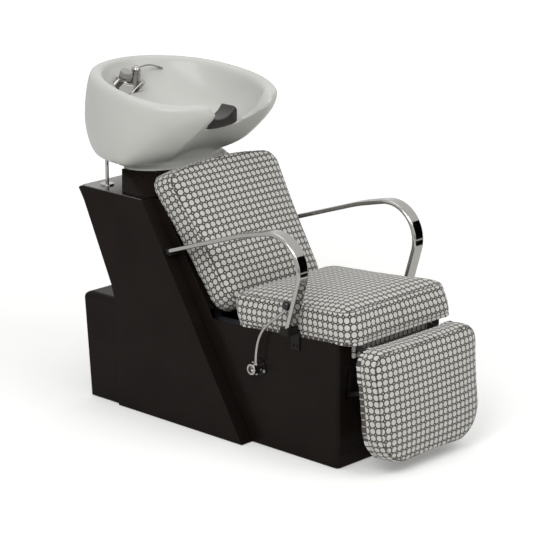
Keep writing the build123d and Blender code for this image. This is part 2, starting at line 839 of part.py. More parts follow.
def lever_knob():
    """Black ball on the end of the lever."""
    ball = Pos(lever_plane_x(), knob_y, knob_z) * Sphere(knob_radius)
    return ball - lever_rod()


def arm_path():
    """Centre line of an armrest in side view, from the rear bracket to the seat's side."""
    points = [(arm_rear_y, arm_rear_z), (arm_mid_y, arm_mid_z), (arm_corner_y, arm_corner_z),
              (arm_foot_y, arm_foot_z)]
    return FilletPolyline(*[(0, y, z) for y, z in points], radius=[arm_rear_radius, arm_bend_radius])


def armrest(side):
    """One flat oval chrome tube bent into an arm."""
    path = arm_path()
    across = Plane(origin=path @ 0, x_dir=(1, 0, 0), z_dir=path % 0)
    outer = RectangleRounded(arm_width, arm_depth, arm_depth / 2 - running_clearance)
    inner = RectangleRounded(arm_width - 2 * arm_wall, arm_depth - 2 * arm_wall,
                             arm_depth / 2 - arm_wall - running_clearance)
    return Pos(side * arm_centre_x, 0, 0) * sweep(across * (outer - inner), path)


def arm_bore_face():
    """Section of a tongue that fits inside an arm's tube."""
    inside = 2 * arm_wall + seam_gap
    return RectangleRounded(arm_width - inside, arm_depth - inside, arm_depth / 2 - arm_wall - seam_gap)


def arm_foot_brackets():
    """Black sockets at the seat's side that hold the arms' front ends."""
    outer = arm_centre_x + arm_width / 2 + arm_wall * 2
    face = body_half_width + seam_gap / 2
    top = arm_foot_z + arm_depth / 2
    socket = block(seat_half_width + arm_wall, outer, arm_foot_y - arm_depth, arm_foot_y + arm_depth * 1.4,
                   arm_foot_z - arm_depth, top)
    socket = fillet(socket.edges().filter_by(Axis.Z), arm_depth / 4)
    direction = (arm_foot_y - arm_corner_y, arm_foot_z - arm_corner_z)
    length = hypot(*direction)
    plug = Plane(origin=(arm_centre_x, arm_foot_y, arm_foot_z),
                 x_dir=(1, 0, 0), z_dir=(0, -direction[0] / length, -direction[1] / length))
    tongue = plug * extrude(arm_bore_face(), amount=arm_depth * 1.5)
    sleeve = plug * extrude(RectangleRounded(arm_width + seam_gap, arm_depth + seam_gap, arm_depth / 2),
                            amount=arm_depth * 2)
    leg_low = seat_line(arm_foot_y) - tube * 1.3
    leg = block(face, face + arm_wall * 3, arm_foot_y - arm_depth, arm_foot_y + arm_depth * 1.4, leg_low,
                arm_foot_z - arm_depth / 2)
    shelf = block(face, seat_half_width + arm_wall * 3, arm_foot_y - arm_depth, arm_foot_y + arm_depth * 1.4,
                  arm_foot_z - arm_depth, arm_foot_z - arm_depth / 2)
    bracket = socket - sleeve + tongue + leg + shelf
    for y, z in arm_bolt_places():
        bracket -= rod_x(face - cut_over, face + arm_wall * 3 + cut_over / 2, y, z, screw_radius)
    return pair(bracket)


def arm_bolt_places():
    """Two bolts through each front arm bracket."""
    low = seat_line(arm_foot_y) - tube * 0.9
    return [(arm_foot_y - arm_depth / 3, low), (arm_foot_y + arm_depth * 0.8, low)]


def arm_rear_brackets():
    """Plates on the back shell that hold the arms' rear ends."""
    face = body_half_width + seam_gap * 5
    direction = (arm_mid_y - arm_rear_y, arm_mid_z - arm_rear_z)
    length = hypot(*direction)
    plug = Plane(origin=(arm_centre_x, arm_rear_y, arm_rear_z), x_dir=(1, 0, 0),
                 z_dir=(0, direction[0] / length, direction[1] / length))
    tongue = plug * extrude(arm_bore_face(), amount=arm_depth * 2)
    cap = plug * Pos(0, 0, -arm_depth * 0.4 - rest_gap) * Box(arm_width, arm_depth, arm_depth * 0.8)
    foot_low, foot_high = arm_rear_z - arm_depth * 1.3, arm_rear_z
    foot_front = arm_rear_y + arm_depth / 4
    foot = side_prism([(foot_front, foot_low), (column_front(foot_low) - rest_gap, foot_low),
                       (column_front(foot_high) - rest_gap, foot_high), (foot_front, foot_high)],
                      face, arm_centre_x + arm_width / 4)
    root = plug * Pos(0, 0, -arm_depth / 2) * extrude(arm_bore_face(), amount=arm_depth)
    return pair(cap + root + tongue + foot)


def arm_bolts():
    """Button head bolts of the arm brackets."""
    x = body_half_width + seam_gap / 2 + arm_wall * 3
    bolts = []
    for y, z in arm_bolt_places():
        bolt = Rot(0, 90, 0) * screw(screw_radius, arm_wall * 3, screw_head_radius, screw_head_height)
        bolts.append(Pos(x, y, z) * bolt)
    return pair(group(*bolts))


def cushion_outline(half_front, half_rear, length, radii, shrink, draw, arch):
    """Plan outline of a cushion, its sides drawn in a little between the rounded corners, or its
    far end arched outward."""
    f, r = half_front - shrink, half_rear - shrink
    low, high = shrink, length - shrink
    rad, rear_rad = [max(radius - shrink * 0.6, radius * 0.3) for radius in radii]
    c, d = rad * (1 - sqrt(0.5)), rear_rad * (1 - sqrt(0.5))
    a = [(-f + rad, low), (f - rad, low), (f, low + rad), (r, high - rear_rad), (r - rear_rad, high),
         (-r + rear_rad, high), (-r, high - rear_rad), (-f, low + rad)]
    middle = (low + high) / 2
    side = (f + r) / 2 - draw
    edges = [ThreePointArc(a[0], (0, low + draw), a[1]),
             ThreePointArc(a[1], (f - c, low + c), a[2]),
             ThreePointArc(a[2], (side, middle), a[3]),
             ThreePointArc(a[3], (r - d, high - d), a[4]),
             ThreePointArc(a[4], (0, high + arch), a[5]),
             ThreePointArc(a[5], (-r + d, high - d), a[6]),
             ThreePointArc(a[6], (-side, middle), a[7]),
             ThreePointArc(a[7], (-f + c, low + c), a[0])]
    return make_face(edges)


def cushion(half_front, half_rear, length, thickness, radii, lean=0.0, top_pitch=0.0, end_draw=0.0,
            arch=-cushion_draw):
    """A crowned pad on its own plane: flat below, sides drawn in, a domed face above."""
    faces = []
    for height, shrink in zip(cushion_height_shares, cushion_shrink_shares):
        outline = cushion_outline(half_front, half_rear, length - end_draw * height, radii,
                                  shrink * thickness, cushion_draw, arch)
        turned = Pos(0, length / 4, 0) * Rot(-top_pitch * height, 0, 0) * Pos(0, -length / 4, 0) * outline
        faces.append(Pos(0, lean * height, height * thickness) * turned)
    return loft(faces, ruled=True)


def seat_cushion():
    """Seat cushion, its front past the base and its rear leaning back with the backrest."""
    radii = (seat_corner_radius, seat_corner_radius)
    pad = cushion(seat_half_width, seat_half_width, seat_length, seat_thickness, radii, seat_rear_lean,
                  seat_top_pitch_deg)
    return on_seat(Pos(0, -seat_front_overhang, rest_gap) * pad)


def seat_board():
    """Plywood board under the seat cushion."""
    half = body_half_width - shell_wall - seam_gap * 2
    board = block(-half, half, shell_wall * 2, seat_length - seat_front_overhang - board_margin,
                  -board_thickness, 0)
    return on_seat(fillet(board.edges().filter_by(Axis.Z).group_by(Axis.Y)[-1], seat_corner_radius))


def on_back(part):
    """Puts a piece drawn flat, length along Y and thickness along Z, onto the reclined back."""
    return Pos(0, back_ref_y, back_ref_z) * Rot(90 - back_lean_deg, 0, 0) * part


def back_cushion():
    """Back cushion, a little narrower at its foot."""
    pad = cushion(back_foot_half_width, back_top_half_width, back_below + back_above, back_thickness,
                  (back_corner_radius, back_top_corner_radius), end_draw=back_top_draw,
                  arch=back_top_arch)
    return on_back(Pos(0, -back_below, rest_gap) * pad)


def back_board():
    """Plywood board behind the back cushion, let into the back shell."""
    low, high = -back_below + back_board_margin, back_above - back_board_margin * 2.5
    half = back_foot_half_width - back_board_margin
    face = Pos(0, (low + high) / 2) * RectangleRounded(2 * half, high - low, back_corner_radius / 2)
    return on_back(Pos(0, 0, -back_board_thickness) * extrude(face, amount=back_board_thickness))


def leg_rest_cushion():
    """Thick leg pad with large round corners."""
    pad = cushion(leg_half_width, leg_foot_half_width, leg_length, leg_thickness - leg_board_thickness,
                  (leg_corner_radius, leg_foot_corner_radius))
    return leg_place(Pos(0, 0, leg_board_thickness + rest_gap) * pad)


def leg_place(part):
    """Leg rest plane: Y runs down the pad from its top edge and Z points at the sitter's legs."""
    out = (0, -cos(radians(leg_pitch_deg)), sin(radians(leg_pitch_deg)))
    return Plane(origin=(0, leg_top_y, leg_top_z), x_dir=(-1, 0, 0), z_dir=out) * part


def leg_rest_board():
    """Plywood back of the leg rest."""
    half = leg_foot_half_width - leg_board_margin
    low, high = leg_board_top_margin, leg_length - leg_board_margin
    board = block(-half, half, low, high, 0, leg_board_thickness)
    upright = board.edges().filter_by(Axis.Z).group_by(Axis.Y)
    board = fillet(upright[-1], leg_foot_corner_radius - leg_board_margin)
    upright = board.edges().filter_by(Axis.Z).group_by(Axis.Y)
    return leg_place(fillet(upright[0], leg_corner_radius - leg_board_top_margin))


def leg_rest_brackets():
    """Steel brackets behind the leg rest with hinge knuckles above and link ears below."""
    brackets = []
    for side in (-1, 1):
        x = side * link_half_span
        x0, x1 = x - ear_plate / 2, x + ear_plate / 2
        back = leg_plane_y(leg_hinge_z - crank_length - link_eye_radius)
        ear = side_prism([(leg_plane_y(leg_hinge_z - knuckle_radius) + rest_gap,
                           leg_hinge_z - knuckle_radius),
                          (leg_plane_y(leg_hinge_z) + rest_gap, leg_hinge_z),
                          (leg_hinge_y + knuckle_radius, leg_hinge_z),
                          (leg_hinge_y + link_eye_radius, leg_hinge_z - crank_length),
                          (back + rest_gap, leg_hinge_z - crank_length - link_eye_radius)], x0, x1)
        ear += rod_x(x0, x1, leg_hinge_y, leg_hinge_z, knuckle_radius)
        ear += rod_x(x0, x1, leg_hinge_y, leg_hinge_z - crank_length, link_eye_radius)
        ear += rod_x(x0 - ear_plate / 2, x1 + ear_plate / 2, leg_hinge_y, leg_hinge_z, knuckle_radius)
        flange = leg_place(block(-x - tube / 2, -x + tube / 2, tube * 1.2, crank_length + tube * 1.5,
                                 -shell_wall * 0.75, -rest_gap / 3))
        ear += flange
        slot_half = link_plate / 2 + rest_gap
        slot_z = leg_hinge_z - crank_length
        ear -= block(link_side(side) - slot_half, link_side(side) + slot_half,
                     leg_hinge_y - link_eye_radius - shell_wall, leg_hinge_y,
                     slot_z - link_eye_radius, slot_z + link_eye_radius)
        ear -= rod_x(x0 - cut_over, x1 + cut_over, leg_hinge_y, leg_hinge_z,
                     hinge_rod_radius + running_clearance)
        ear -= rod_x(x0 - cut_over, x1 + cut_over, leg_hinge_y, leg_hinge_z - crank_length,
                     link_pin_radius + running_clearance)
        brackets.append(ear)
    return group(*brackets)


def leg_plane_y(z):
    """Where the back of the leg rest is at a height."""
    return leg_top_y - (leg_top_z - z) * tan(radians(leg_pitch_deg))


def hinge_rod():
    """Rod that the leg rest swings on."""
    reach = link_half_span + ear_plate + knuckle_radius
    return rod_x(-reach, reach, leg_hinge_y, leg_hinge_z, hinge_rod_radius)


def back_frame():
    """Two posts with a head plate and hinge ears, and the rails behind the back board."""
    frame = Part()
    half = tube / 2
    for side in (-1, 1):
        x = side * frame_half_span
        frame += box_tube(x - half, x + half, post_y - half, post_y + half, foot_height + runner_height,
                          post_plate_height, 2)
        front = -back_board_thickness - rest_gap * 2 - shell_wall
        rail_low = -back_below + tube * 1.5
        rail_high = (deck_height - deck_plate_thickness - back_ref_z) / back_up[1] - shell_wall * 2
        rail = side_prism([back_point(rail_low, front), back_point(rail_high, front),
                           back_point(rail_high, front - rail_depth),
                           back_point(rail_low, front - rail_depth)], x - half / 2, x + half / 2)
        frame += rail
        tie_y, tie_z = back_point(rail_high * 0.9, front - rail_depth / 2)
        frame += block(x - half / 2, x + half / 2, tie_y, post_y, tie_z - half, tie_z)
        low_y, low_z = back_point(rail_low + tube / 2, front - rail_depth / 2)
        frame += block(x - half / 2, x + half / 2, low_y - half / 2, low_y + half / 2,
                       foot_height + runner_height, low_z)
        brace_z = seat_line(seat_frame_rear) - board_thickness - seat_tube / 2
        frame += block(x - half / 2, x + half / 2, seat_frame_rear + rest_gap, low_y,
                       brace_z - half / 2, brace_z + half / 2)
    top = post_plate_height + post_plate_thickness
    frame += block(-post_plate_half_width, post_plate_half_width, post_plate_front, post_plate_rear,
                   post_plate_height, top)
    frame -= rod_z(0, drain_y, post_plate_height - cut_over, top + cut_over, tail_radius * 1.7)
    for side in (-1, 1):
        x0 = min(side * pivot_ear_inner, side * (pivot_ear_inner + ear_plate))
        ear = block(x0, x0 + ear_plate, pivot_y - pivot_ear_radius, pivot_y + pivot_ear_radius, top, pivot_z)
        ear += rod_x(x0, x0 + ear_plate, pivot_y, pivot_z, pivot_ear_radius)
        frame += ear
    for side in (-1, 1):
        x0 = side * pivot_ear_inner
        frame -= rod_x(x0 - cut_over, x0 + cut_over, pivot_y, pivot_z, pivot_pin_radius + running_clearance)
    return frame


def tilt_pins():
    """Headed pins of the basin's hinge."""
    pins = []
    for side in (-1, 1):
        a = side * (pivot_ear_inner - rest_gap)
        b = side * (pivot_ear_inner + 2 * ear_plate + seam_gap + rest_gap)
        pins.append(headed_pin(min(a, b), max(a, b), pivot_y, pivot_z, pivot_pin_radius))
    return group(*pins)


def hinge_leaves():
    """Leaves bolted to the basin's bosses, turning on the hinge pins."""
    leaves = []
    for side in (-1, 1):
        inner = pivot_ear_inner + ear_plate + seam_gap
        x0, x1 = sorted((side * inner, side * (inner + ear_plate)))
        leaf = block(x0, x1, pivot_y - pivot_ear_radius, pivot_y + pivot_ear_radius, pivot_z,
                     boss_foot - rest_gap / 3)
        leaf += rod_x(x0, x1, pivot_y, pivot_z, pivot_ear_radius)
        f0, f1 = sorted((side * inner, side * (boss_outer - rest_gap)))
        leaf += block(f0, f1, boss_front + rest_gap, boss_rear - rest_gap, boss_foot - ear_plate * 0.8,
                      boss_foot - rest_gap / 3)
        leaf -= rod_x(x0 - cut_over, x1 + cut_over, pivot_y, pivot_z, pivot_pin_radius + running_clearance)
        leaves.append(leaf)
    return group(*leaves)


# Levels of the basin's outside: height, half width, middle, reach to the front and to the rear
hull_levels = [
    (hull_top, 270.0, 828.0, 254.0, 334.0),
    (957.0, 280.0, 833.0, 259.0, 358.0),
    (905.0, 283.0, 845.0, 240.0, 354.0),
    (858.0, 279.0, 855.0, 195.0, 344.0),
    (812.0, 268.0, 865.0, 140.0, 324.0),
    (783.0, 256.0, 875.0, 92.0, 300.0),
    (hull_floor, 244.0, 884.0, 58.0, 280.0),
]

# Levels of the bowl in the same order
bowl_levels = [
    (hull_top, 250.0, 828.0, 234.0, 314.0),
    (985.0, 242.0, 830.0, 228.0, 286.0),
    (930.0, 221.0, 835.0, 205.0, 224.0),
    (880.0, 178.0, 842.0, 150.0, 150.0),
    (850.0, 118.0, 848.0, 92.0, 92.0),
    (838.0, 60.0, drain_y, 45.0, 45.0),
]

# Side view of the rim, from the front to the rear
rim_line = [(520.0, 985.0), (600.0, 981.0), (665.0, 977.0), (730.0, 982.0), (800.0, 992.0), (880.0, 1004.0),
            (960.0, 1015.0), (1040.0, 1023.0), (1110.0, 1028.0), (1240.0, 1032.0)]

# Half of the notch's front view, from its low point up past the horn
notch_line = [(0.0, 885.0), (67.0, 892.0), (88.0, 905.0), (106.0, 932.0), (120.0, 955.0), (134.0, 975.0),
              (150.0, 1010.0)]


def egg(level, grow):
    """A level outline of two half ellipses that share their widest line."""
    z, half, middle, front, rear = level
    a, f, r = half + grow, front + grow, rear + grow
    near = EllipticalCenterArc((0, middle), a, f, start_angle=half_turn_deg, arc_size=half_turn_deg)
    far = EllipticalCenterArc((0, middle), a, r, start_angle=0, arc_size=half_turn_deg)
    return Pos(0, 0, z) * make_face([near, far])


def channel(radius):
    """The round slanted channel that the neck lies in, as the bar that would fill it."""
    run = (channel_foot_y - notch_y, channel_foot_z - notch_z)
    length = hypot(*run)
    along = (run[0] / length, run[1] / length)
    out = (along[1], -along[0])
    centre = (notch_y + out[0] * channel_radius, notch_z + out[1] * channel_radius)
    reach = channel_radius
    return Plane(origin=(0, *centre), z_dir=(0, *along)) * Cylinder(radius, reach * 4)


def over_rim():
    """Everything above the rim line."""
    top = hull_top + cut_over
    rim = Spline(*rim_line)
    first, last = rim_line[0], rim_line[-1]
    frame = [rim, Line(last, (last[0], top)), Line((last[0], top), (first[0], top)),
             Line((first[0], top), first)]
    half = column_half_width * 1.3
    return extrude(Plane.YZ.offset(-half) * make_face(frame), amount=2 * half, dir=(1, 0, 0))


def notch_cut(lift=0.0):
    """The neck notch, cut level from the front into the bowl."""
    points = [(-x, z + lift) for x, z in reversed(notch_line[1:])] + [(x, z + lift) for x, z in notch_line]
    top = hull_top + cut_over
    left, right = points[0], points[-1]
    frame = [Spline(*points), Line(right, (right[0], top)), Line((right[0], top), (left[0], top)),
             Line((left[0], top), left)]
    front = rim_line[0][0] - cut_over
    depth = drain_y - cut_over * 3 - front
    return extrude(Plane.XZ.offset(-front) * make_face(frame), amount=depth, dir=(0, 1, 0))


def tap_boss():
    """Flat sloping land inside the rear wall for the tap plate."""
    size = tap_plate_length + basin_wall * 2
    land = deck_place(tap_plate_x, tap_plate_rise, -basin_wall * 2.5)
    return land * Box(tap_plate_width + basin_wall * 2, size, basin_wall * 5)


def tap_pocket():
    """Room over the tap land, so that the plate lies flat on it."""
    room = basin_wall / 2
    face = RectangleRounded(tap_plate_width + room, tap_plate_length + room, tap_plate_corner + room / 2)
    return deck_place(tap_plate_x, tap_plate_rise, 0) * extrude(face, amount=crank_length / 2)


def deck_place(x, rise, out):
    """A place on the rear deck: across, up the slope and out of it, with Z square to it."""
    slope = radians(deck_slope_deg)
    along = (0, cos(slope), sin(slope))
    normal = (0, -sin(slope), cos(slope))
    origin = (x, deck_ref_y + rise * along[1] + out * normal[1],
              deck_ref_z + rise * along[2] + out * normal[2])
    return Location(Plane(origin=origin, x_dir=(1, 0, 0), z_dir=normal))


def foot_level(z, half, front, rear, front_radius, rear_radius):
    """A level outline of the basin's foot."""
    return cowl_level(z, half, front, rear, front_radius, rear_radius)


def neck_level(z, grow):
    """A level outline of the foot above its flange, drawn in or out."""
    return foot_level(z, foot_neck_half_width + grow, foot_neck_front - grow, foot_neck_rear + grow,
                      foot_neck_front_radius + grow, foot_neck_rear_radius + grow)


def flange_level(z):
    """A level outline of the flange round the foot."""
    return foot_level(z, foot_flange_half_width, foot_flange_front, foot_flange_rear,
                      foot_flange_front_radius, foot_flange_rear_radius)


def basin_foot():
    """Foot of the basin: a flange over the cowl, flared up into an upright wall."""
    flange_top = foot_flange_z + foot_flange_height
    flare_top = flange_top + foot_flare_height
    foot = extrude(flange_level(foot_flange_z), amount=foot_flange_height, dir=(0, 0, 1))
    foot += loft([flange_level(flange_top), neck_level(flare_top, 0)], ruled=True)
    foot += extrude(neck_level(flare_top, 0), amount=foot_neck_top - flare_top, dir=(0, 0, 1))
    rear = foot_flange_rear + cut_over
    rise = (rear - foot_level_to) * tan(radians(basin_room_deg))
    return foot - side_prism([(foot_level_to, foot_flange_z), (rear, foot_flange_z + rise),
                              (rear, foot_flange_z - cut_over), (foot_level_to, foot_flange_z - cut_over)],
                             -column_half_width, column_half_width)


def foot_room(low, high):
    """The room inside the foot."""
    return extrude(neck_level(low, -basin_wall), amount=high - low, dir=(0, 0, 1))


def basin():
    """Glazed basin: outer hull, neck channel, bowl, hollow underside and foot."""
    hull = loft([egg(level, 0) for level in hull_levels])
    bowl = loft([egg(level, 0) for level in bowl_levels])
    bowl_skin = Pos(0, 0, -basin_wall) * loft([egg(level, basin_wall) for level in bowl_levels])
    hollow = loft([egg(level, -basin_wall) for level in hull_levels[1:]])
    hollow -= block(-hull_top, hull_top, 0, hull_top * 2, 0, hull_floor + basin_wall)
    hollow -= block(-hull_top, hull_top, 0, hull_top * 2, cavity_top, hull_top * 2)
    room_low = foot_flange_z - cut_over
    hollow += foot_room(room_low, hull_floor + basin_wall * 2)
    skin = channel(channel_radius + channel_wall)
    land = tap_boss()
    under_neck = channel(channel_radius)
    body = hull - under_neck + basin_foot()
    bosses = pair(block(boss_inner, boss_outer, boss_front, boss_rear, boss_foot, boss_foot + crank_length))
    drain_boss = rod_z(0, drain_y, bowl_levels[-1][0] - basin_wall * 3, bowl_levels[-1][0] + basin_wall,
                       strainer_radius + basin_wall)
    hollow = hollow - bowl_skin - skin - land - bosses - drain_boss - notch_cut(-horn_wall)
    body = body - hollow - (foot_room(room_low, foot_neck_top) & under_neck) - (bowl - skin - land)
    body = body - over_rim() - notch_cut()
    body -= rod_z(0, drain_y, room_low, hull_top, drain_radius)
    body -= hose_window()
    clear = pivot_ear_radius + ear_plate / 2
    body -= pair(block(pivot_ear_inner - ear_plate / 2, boss_outer + seam_gap, pivot_y - clear,
                       boss_rear + seam_gap, room_low, boss_foot))
    body -= tap_pocket()
    seat = block(-neck_rest_half_width - rest_gap, neck_rest_half_width + rest_gap, front_reach_of_basin(),
                 neck_rest_front + neck_rest_lip, neck_rest_foot - rest_gap, hull_top)
    body -= seat & notch_cut(-neck_rest_lip - rest_gap)
    return max(body.solids(), key=lambda s: s.volume)


def hose_window():
    """Window in the basin's underside below the inlets, for the supply hoses."""
    half = hose_window_half_width
    return block(mixer_x - half, mixer_x + half, hose_window_front, hose_window_rear,
                 hull_floor - basin_wall, hull_floor + basin_wall * 2)


def front_reach_of_basin():
    """How far forward the hull comes."""
    return min(level[2] - level[3] for level in hull_levels)


def neck_rest():
    """Black rubber saddle over the low edge of the notch."""
    half, top, low = neck_rest_half_width, neck_rest_top, neck_rest_low
    skin = neck_rest_skin
    frame = [ThreePointArc((half - skin, top), (0, low), (skin - half, top)),
             Line((skin - half, top), (-half, top - skin)),
             Line((-half, top - skin), (-half, neck_rest_foot)),
             Line((-half, neck_rest_foot), (half, neck_rest_foot)),
             Line((half, neck_rest_foot), (half, top - skin)),
             Line((half, top - skin), (half - skin, top))]
    saddle = extrude(Plane.XZ.offset(-neck_rest_front) * make_face(frame), amount=-neck_rest_depth)
    above = notch_cut(rest_gap)
    front_lip = notch_cut(-neck_rest_lip)
    lip = block(-half, half, neck_rest_front, neck_rest_front + neck_rest_lip - rest_gap, neck_rest_foot,
                hull_top)
    rest = (saddle & above) + (saddle & lip & front_lip)
    rest = fillet(rest.edges().filter_by(GeomType.CIRCLE), skin / 4)
    return rest


def waste_strainer():
    """Chrome waste with its flange in the bowl and its tail below."""
    floor = bowl_levels[-1][0]
    flange = rod_z(0, drain_y, floor, floor + deck_plate_thickness, strainer_radius)
    tail = rod_z(0, drain_y, tail_foot, floor, tail_radius)
    tail += rod_z(0, drain_y, tail_foot + tail_length, floor + deck_plate_thickness, shank_radius)
    bore = rod_z(0, drain_y, tail_foot - cut_over, floor - deck_plate_thickness, tail_radius - tube_wall)
    body = flange + tail - bore
    for x in (-1, 0, 1):
        for y in (-1, 0, 1):
            step = tail_radius / 2
            body -= rod_z(x * step, drain_y + y * step, tail_foot, hull_top, tail_radius / 7)
    return body


def stay_tubes():
    """Chrome guide tubes of the stays, through the ledge."""
    tube_one = rod_z(stay_x, stay_y, stay_tube_foot, stay_tube_top, stay_tube_radius)
    return pair(tube_one - rod_z(stay_x, stay_y, stay_tube_foot - cut_over, stay_tube_top + cut_over,
                                 stay_tube_bore))


def stay_rosettes():
    """Round collars where the stays pass the ledge."""
    ring = rod_z(stay_x, stay_y, deck_height, deck_height + rosette_height, rosette_radius)
    ring = fillet(ring.edges().group_by(Axis.Z)[-1], rosette_height * 0.6)
    return pair(ring - rod_z(stay_x, stay_y, deck_height - cut_over, deck_height + cut_over,
                             stay_tube_radius + rest_gap / 3))


def stay_rods():
    """Rods that slide in the guide tubes and are pinned under the basin."""
    shoulder = stay_pin_z - stay_rod_radius - seam_gap * 3
    half, eye = stay_tongue_thickness / 2, stay_rod_radius - seam_gap
    rod = rod_z(stay_x, stay_y, stay_rod_foot, shoulder, stay_rod_radius)
    rod += block(stay_x - half, stay_x + half, stay_y - eye, stay_y + eye, shoulder, stay_pin_z)
    rod += rod_x(stay_x - half, stay_x + half, stay_y, stay_pin_z, eye)
    return pair(rod - rod_x(stay_x - cut_over, stay_x + cut_over, stay_y, stay_pin_z,
                            stay_pin_radius + running_clearance))


def stay_clevises():
    """Forks under the basin that hold the stays."""
    half = stay_tongue_thickness / 2 + rest_gap
    width = stay_rod_radius
    fork = rod_z(stay_x, stay_y, stay_pin_z - width, hull_floor - rest_gap / 3, width)
    fork -= block(stay_x - half, stay_x + half, stay_y - width * 2, stay_y + width * 2,
                  stay_pin_z - width * 2, stay_pin_z + width + rest_gap)
    return pair(fork - rod_x(stay_x - cut_over, stay_x + cut_over, stay_y, stay_pin_z,
                             stay_pin_radius + running_clearance))


def stay_pins():
    """Cross pins of the stay forks."""
    reach = stay_rod_radius + rest_gap
    return pair(rod_x(stay_x - reach, stay_x + reach, stay_y, stay_pin_z, stay_pin_radius))


def tap_plate():
    """Chrome plate under the mixer and the hand shower."""
    plate = extrude(RectangleRounded(tap_plate_width, tap_plate_length, tap_plate_corner),
                    amount=tap_plate_thickness)
    return deck_place(tap_plate_x, tap_plate_rise, rest_gap / 3) * plate


def mixer_place(height):
    """A place on the mixer's own upright axis, at a height over the plate's face."""
    foot = deck_place(mixer_x, mixer_rise, tap_plate_thickness)
    return Pos(*foot.position) * Rot(mixer_lean_deg, 0, 0) * Pos(0, 0, height)


def over_plate(gap):
    """Everything above the tap plate."""
    size = shell_wall * 100
    face = deck_place(mixer_x, mixer_rise, tap_plate_thickness + gap)
    return face * Pos(0, 0, size / 2) * Box(size, size, size)


def mixer_body():
    """Mixer body that stands up from the plate, with a short spout down into the bowl."""
    depth = mixer_radius * 2.4
    body = Pos(0, 0, (mixer_height - depth) / 2) * Cylinder(mixer_radius, mixer_height + depth)
    spout = Pos(0, -spout_reach / 2, -spout_drop) * Rot(90 - spout_pitch_deg, 0, 0) * Cylinder(
        spout_radius, spout_reach)
    return (mixer_place(0) * (body + spout)) & over_plate(rest_gap / 3)


def mixer_cap():
    """Domed cap that turns on the mixer body."""
    low = Pos(0, 0, cap_height * 0.2) * Cylinder(cap_radius, cap_height * 0.4)
    dome = Pos(0, 0, cap_height * 0.4) * Sphere(cap_radius)
    dome = dome & Pos(0, 0, cap_height * 0.9) * Box(cap_radius * 3, cap_radius * 3, cap_height)
    slot = Pos(cap_radius * 0.55, 0, cap_height * 0.75) * Box(cap_radius * 1.5, lever_arm_radius * 3,
                                                              cap_height)
    return mixer_place(mixer_height + rest_gap) * (low + dome - slot)


def mixer_pivot():
    """Centre of the mixer lever's pin, from the foot of the cap."""
    return cap_radius * 0.15, cap_height * 0.62


def mixer_lever():
    """Long thin lever that lies in the cap's slot and lifts."""
    x, z = mixer_pivot()
    start = (x, 0, z)
    mid = (lever_arm_reach * 0.5, 0, z + lever_arm_radius)
    end = (lever_arm_reach, 0, z - lever_arm_radius * 5)
    path = Spline(start, mid, end, tangents=[(1, 0, 0.15), (1, 0, -0.4)])
    arm = sweep(Plane(origin=path @ 0, x_dir=(0, 1, 0), z_dir=path % 0) * Circle(lever_arm_radius), path)
    tip = Pos(*end) * Rot(0, 22, 0) * Pos(-lever_arm_radius * 2, 0, 0) * Box(
        lever_arm_radius * 6, lever_arm_radius * 3.2, lever_arm_radius * 1.4)
    root = Pos(x, 0, z) * Rot(90, 0, 0) * Cylinder(lever_arm_radius * 1.3, lever_arm_radius * 2.4)
    return mixer_place(mixer_height + rest_gap) * (arm + tip + root)


def shower_holder():
    """Collar in the tap plate that the hand shower stands in."""
    place = deck_place(shower_x, shower_rise, tap_plate_thickness + rest_gap * 2 / 3)
    ring = Pos(0, 0, holder_height / 2) * Cylinder(holder_radius, holder_height)
    ring = fillet(ring.edges().group_by(Axis.Z)[-1], holder_radius / 6)
    bore = Pos(0, 0, holder_height / 2) * Cylinder(shower_grip_radius + seam_gap, holder_height * 2)
    return place * (ring - bore)


def hand_shower():
    """Pull-out hand shower parked in its holder."""
    place = deck_place(shower_x, shower_rise, tap_plate_thickness + rest_gap * 2 / 3)
    grip_low = rest_gap
    grip = Pos(0, 0, (grip_low + shower_grip_depth) / 2) * Cylinder(shower_grip_radius,
                                                                    shower_grip_depth - grip_low)
    rest = Pos(0, 0, holder_height + rest_gap + shower_grip_depth * 0.12) * Cone(
        shower_grip_radius * 1.2, shower_head_radius * 0.8, shower_grip_depth * 0.24)
    head = Pos(0, 0, shower_grip_depth + shower_head_height * 0.2) * Rot(-24, 0, 0) * Cylinder(
        shower_head_radius, shower_head_height * 0.7)
    head = fillet(head.edges().filter_by(GeomType.CIRCLE), shower_head_height * 0.12)
    return place * (grip + rest + head)


def inlet_tails():
    """Two elbows under the tap land, their tails straight down for the supply hoses."""
    tails = []
    for side in (-1, 1):
        place = deck_place(mixer_x + side * inlet_spacing / 2, inlet_rise, -basin_wall * 5)
        stub = place * Pos(0, 0, -inlet_stub_length / 2) * Cylinder(inlet_stub_radius, inlet_stub_length)
        end = (place * Pos(0, 0, -inlet_stub_length)).position
        foot = end.Z - inlet_block / 2
        elbow = Pos(*end) * Box(inlet_block, inlet_block, inlet_block)
        tails.append(stub + elbow + rod_z(end.X, end.Y, foot - inlet_length, foot, inlet_radius))
    return group(*tails)


def finish_front_shell():
    """Front shell with the openings of the hinge lugs."""
    shell = front_box_shell()
    for cut in front_openings():
        shell -= cut
    return shell


def finish_valance():
    """Valance with the openings of the hinge lugs."""
    panel = front_valance()
    for cut in front_openings():
        panel -= cut
    return panel


basin_body = basin()

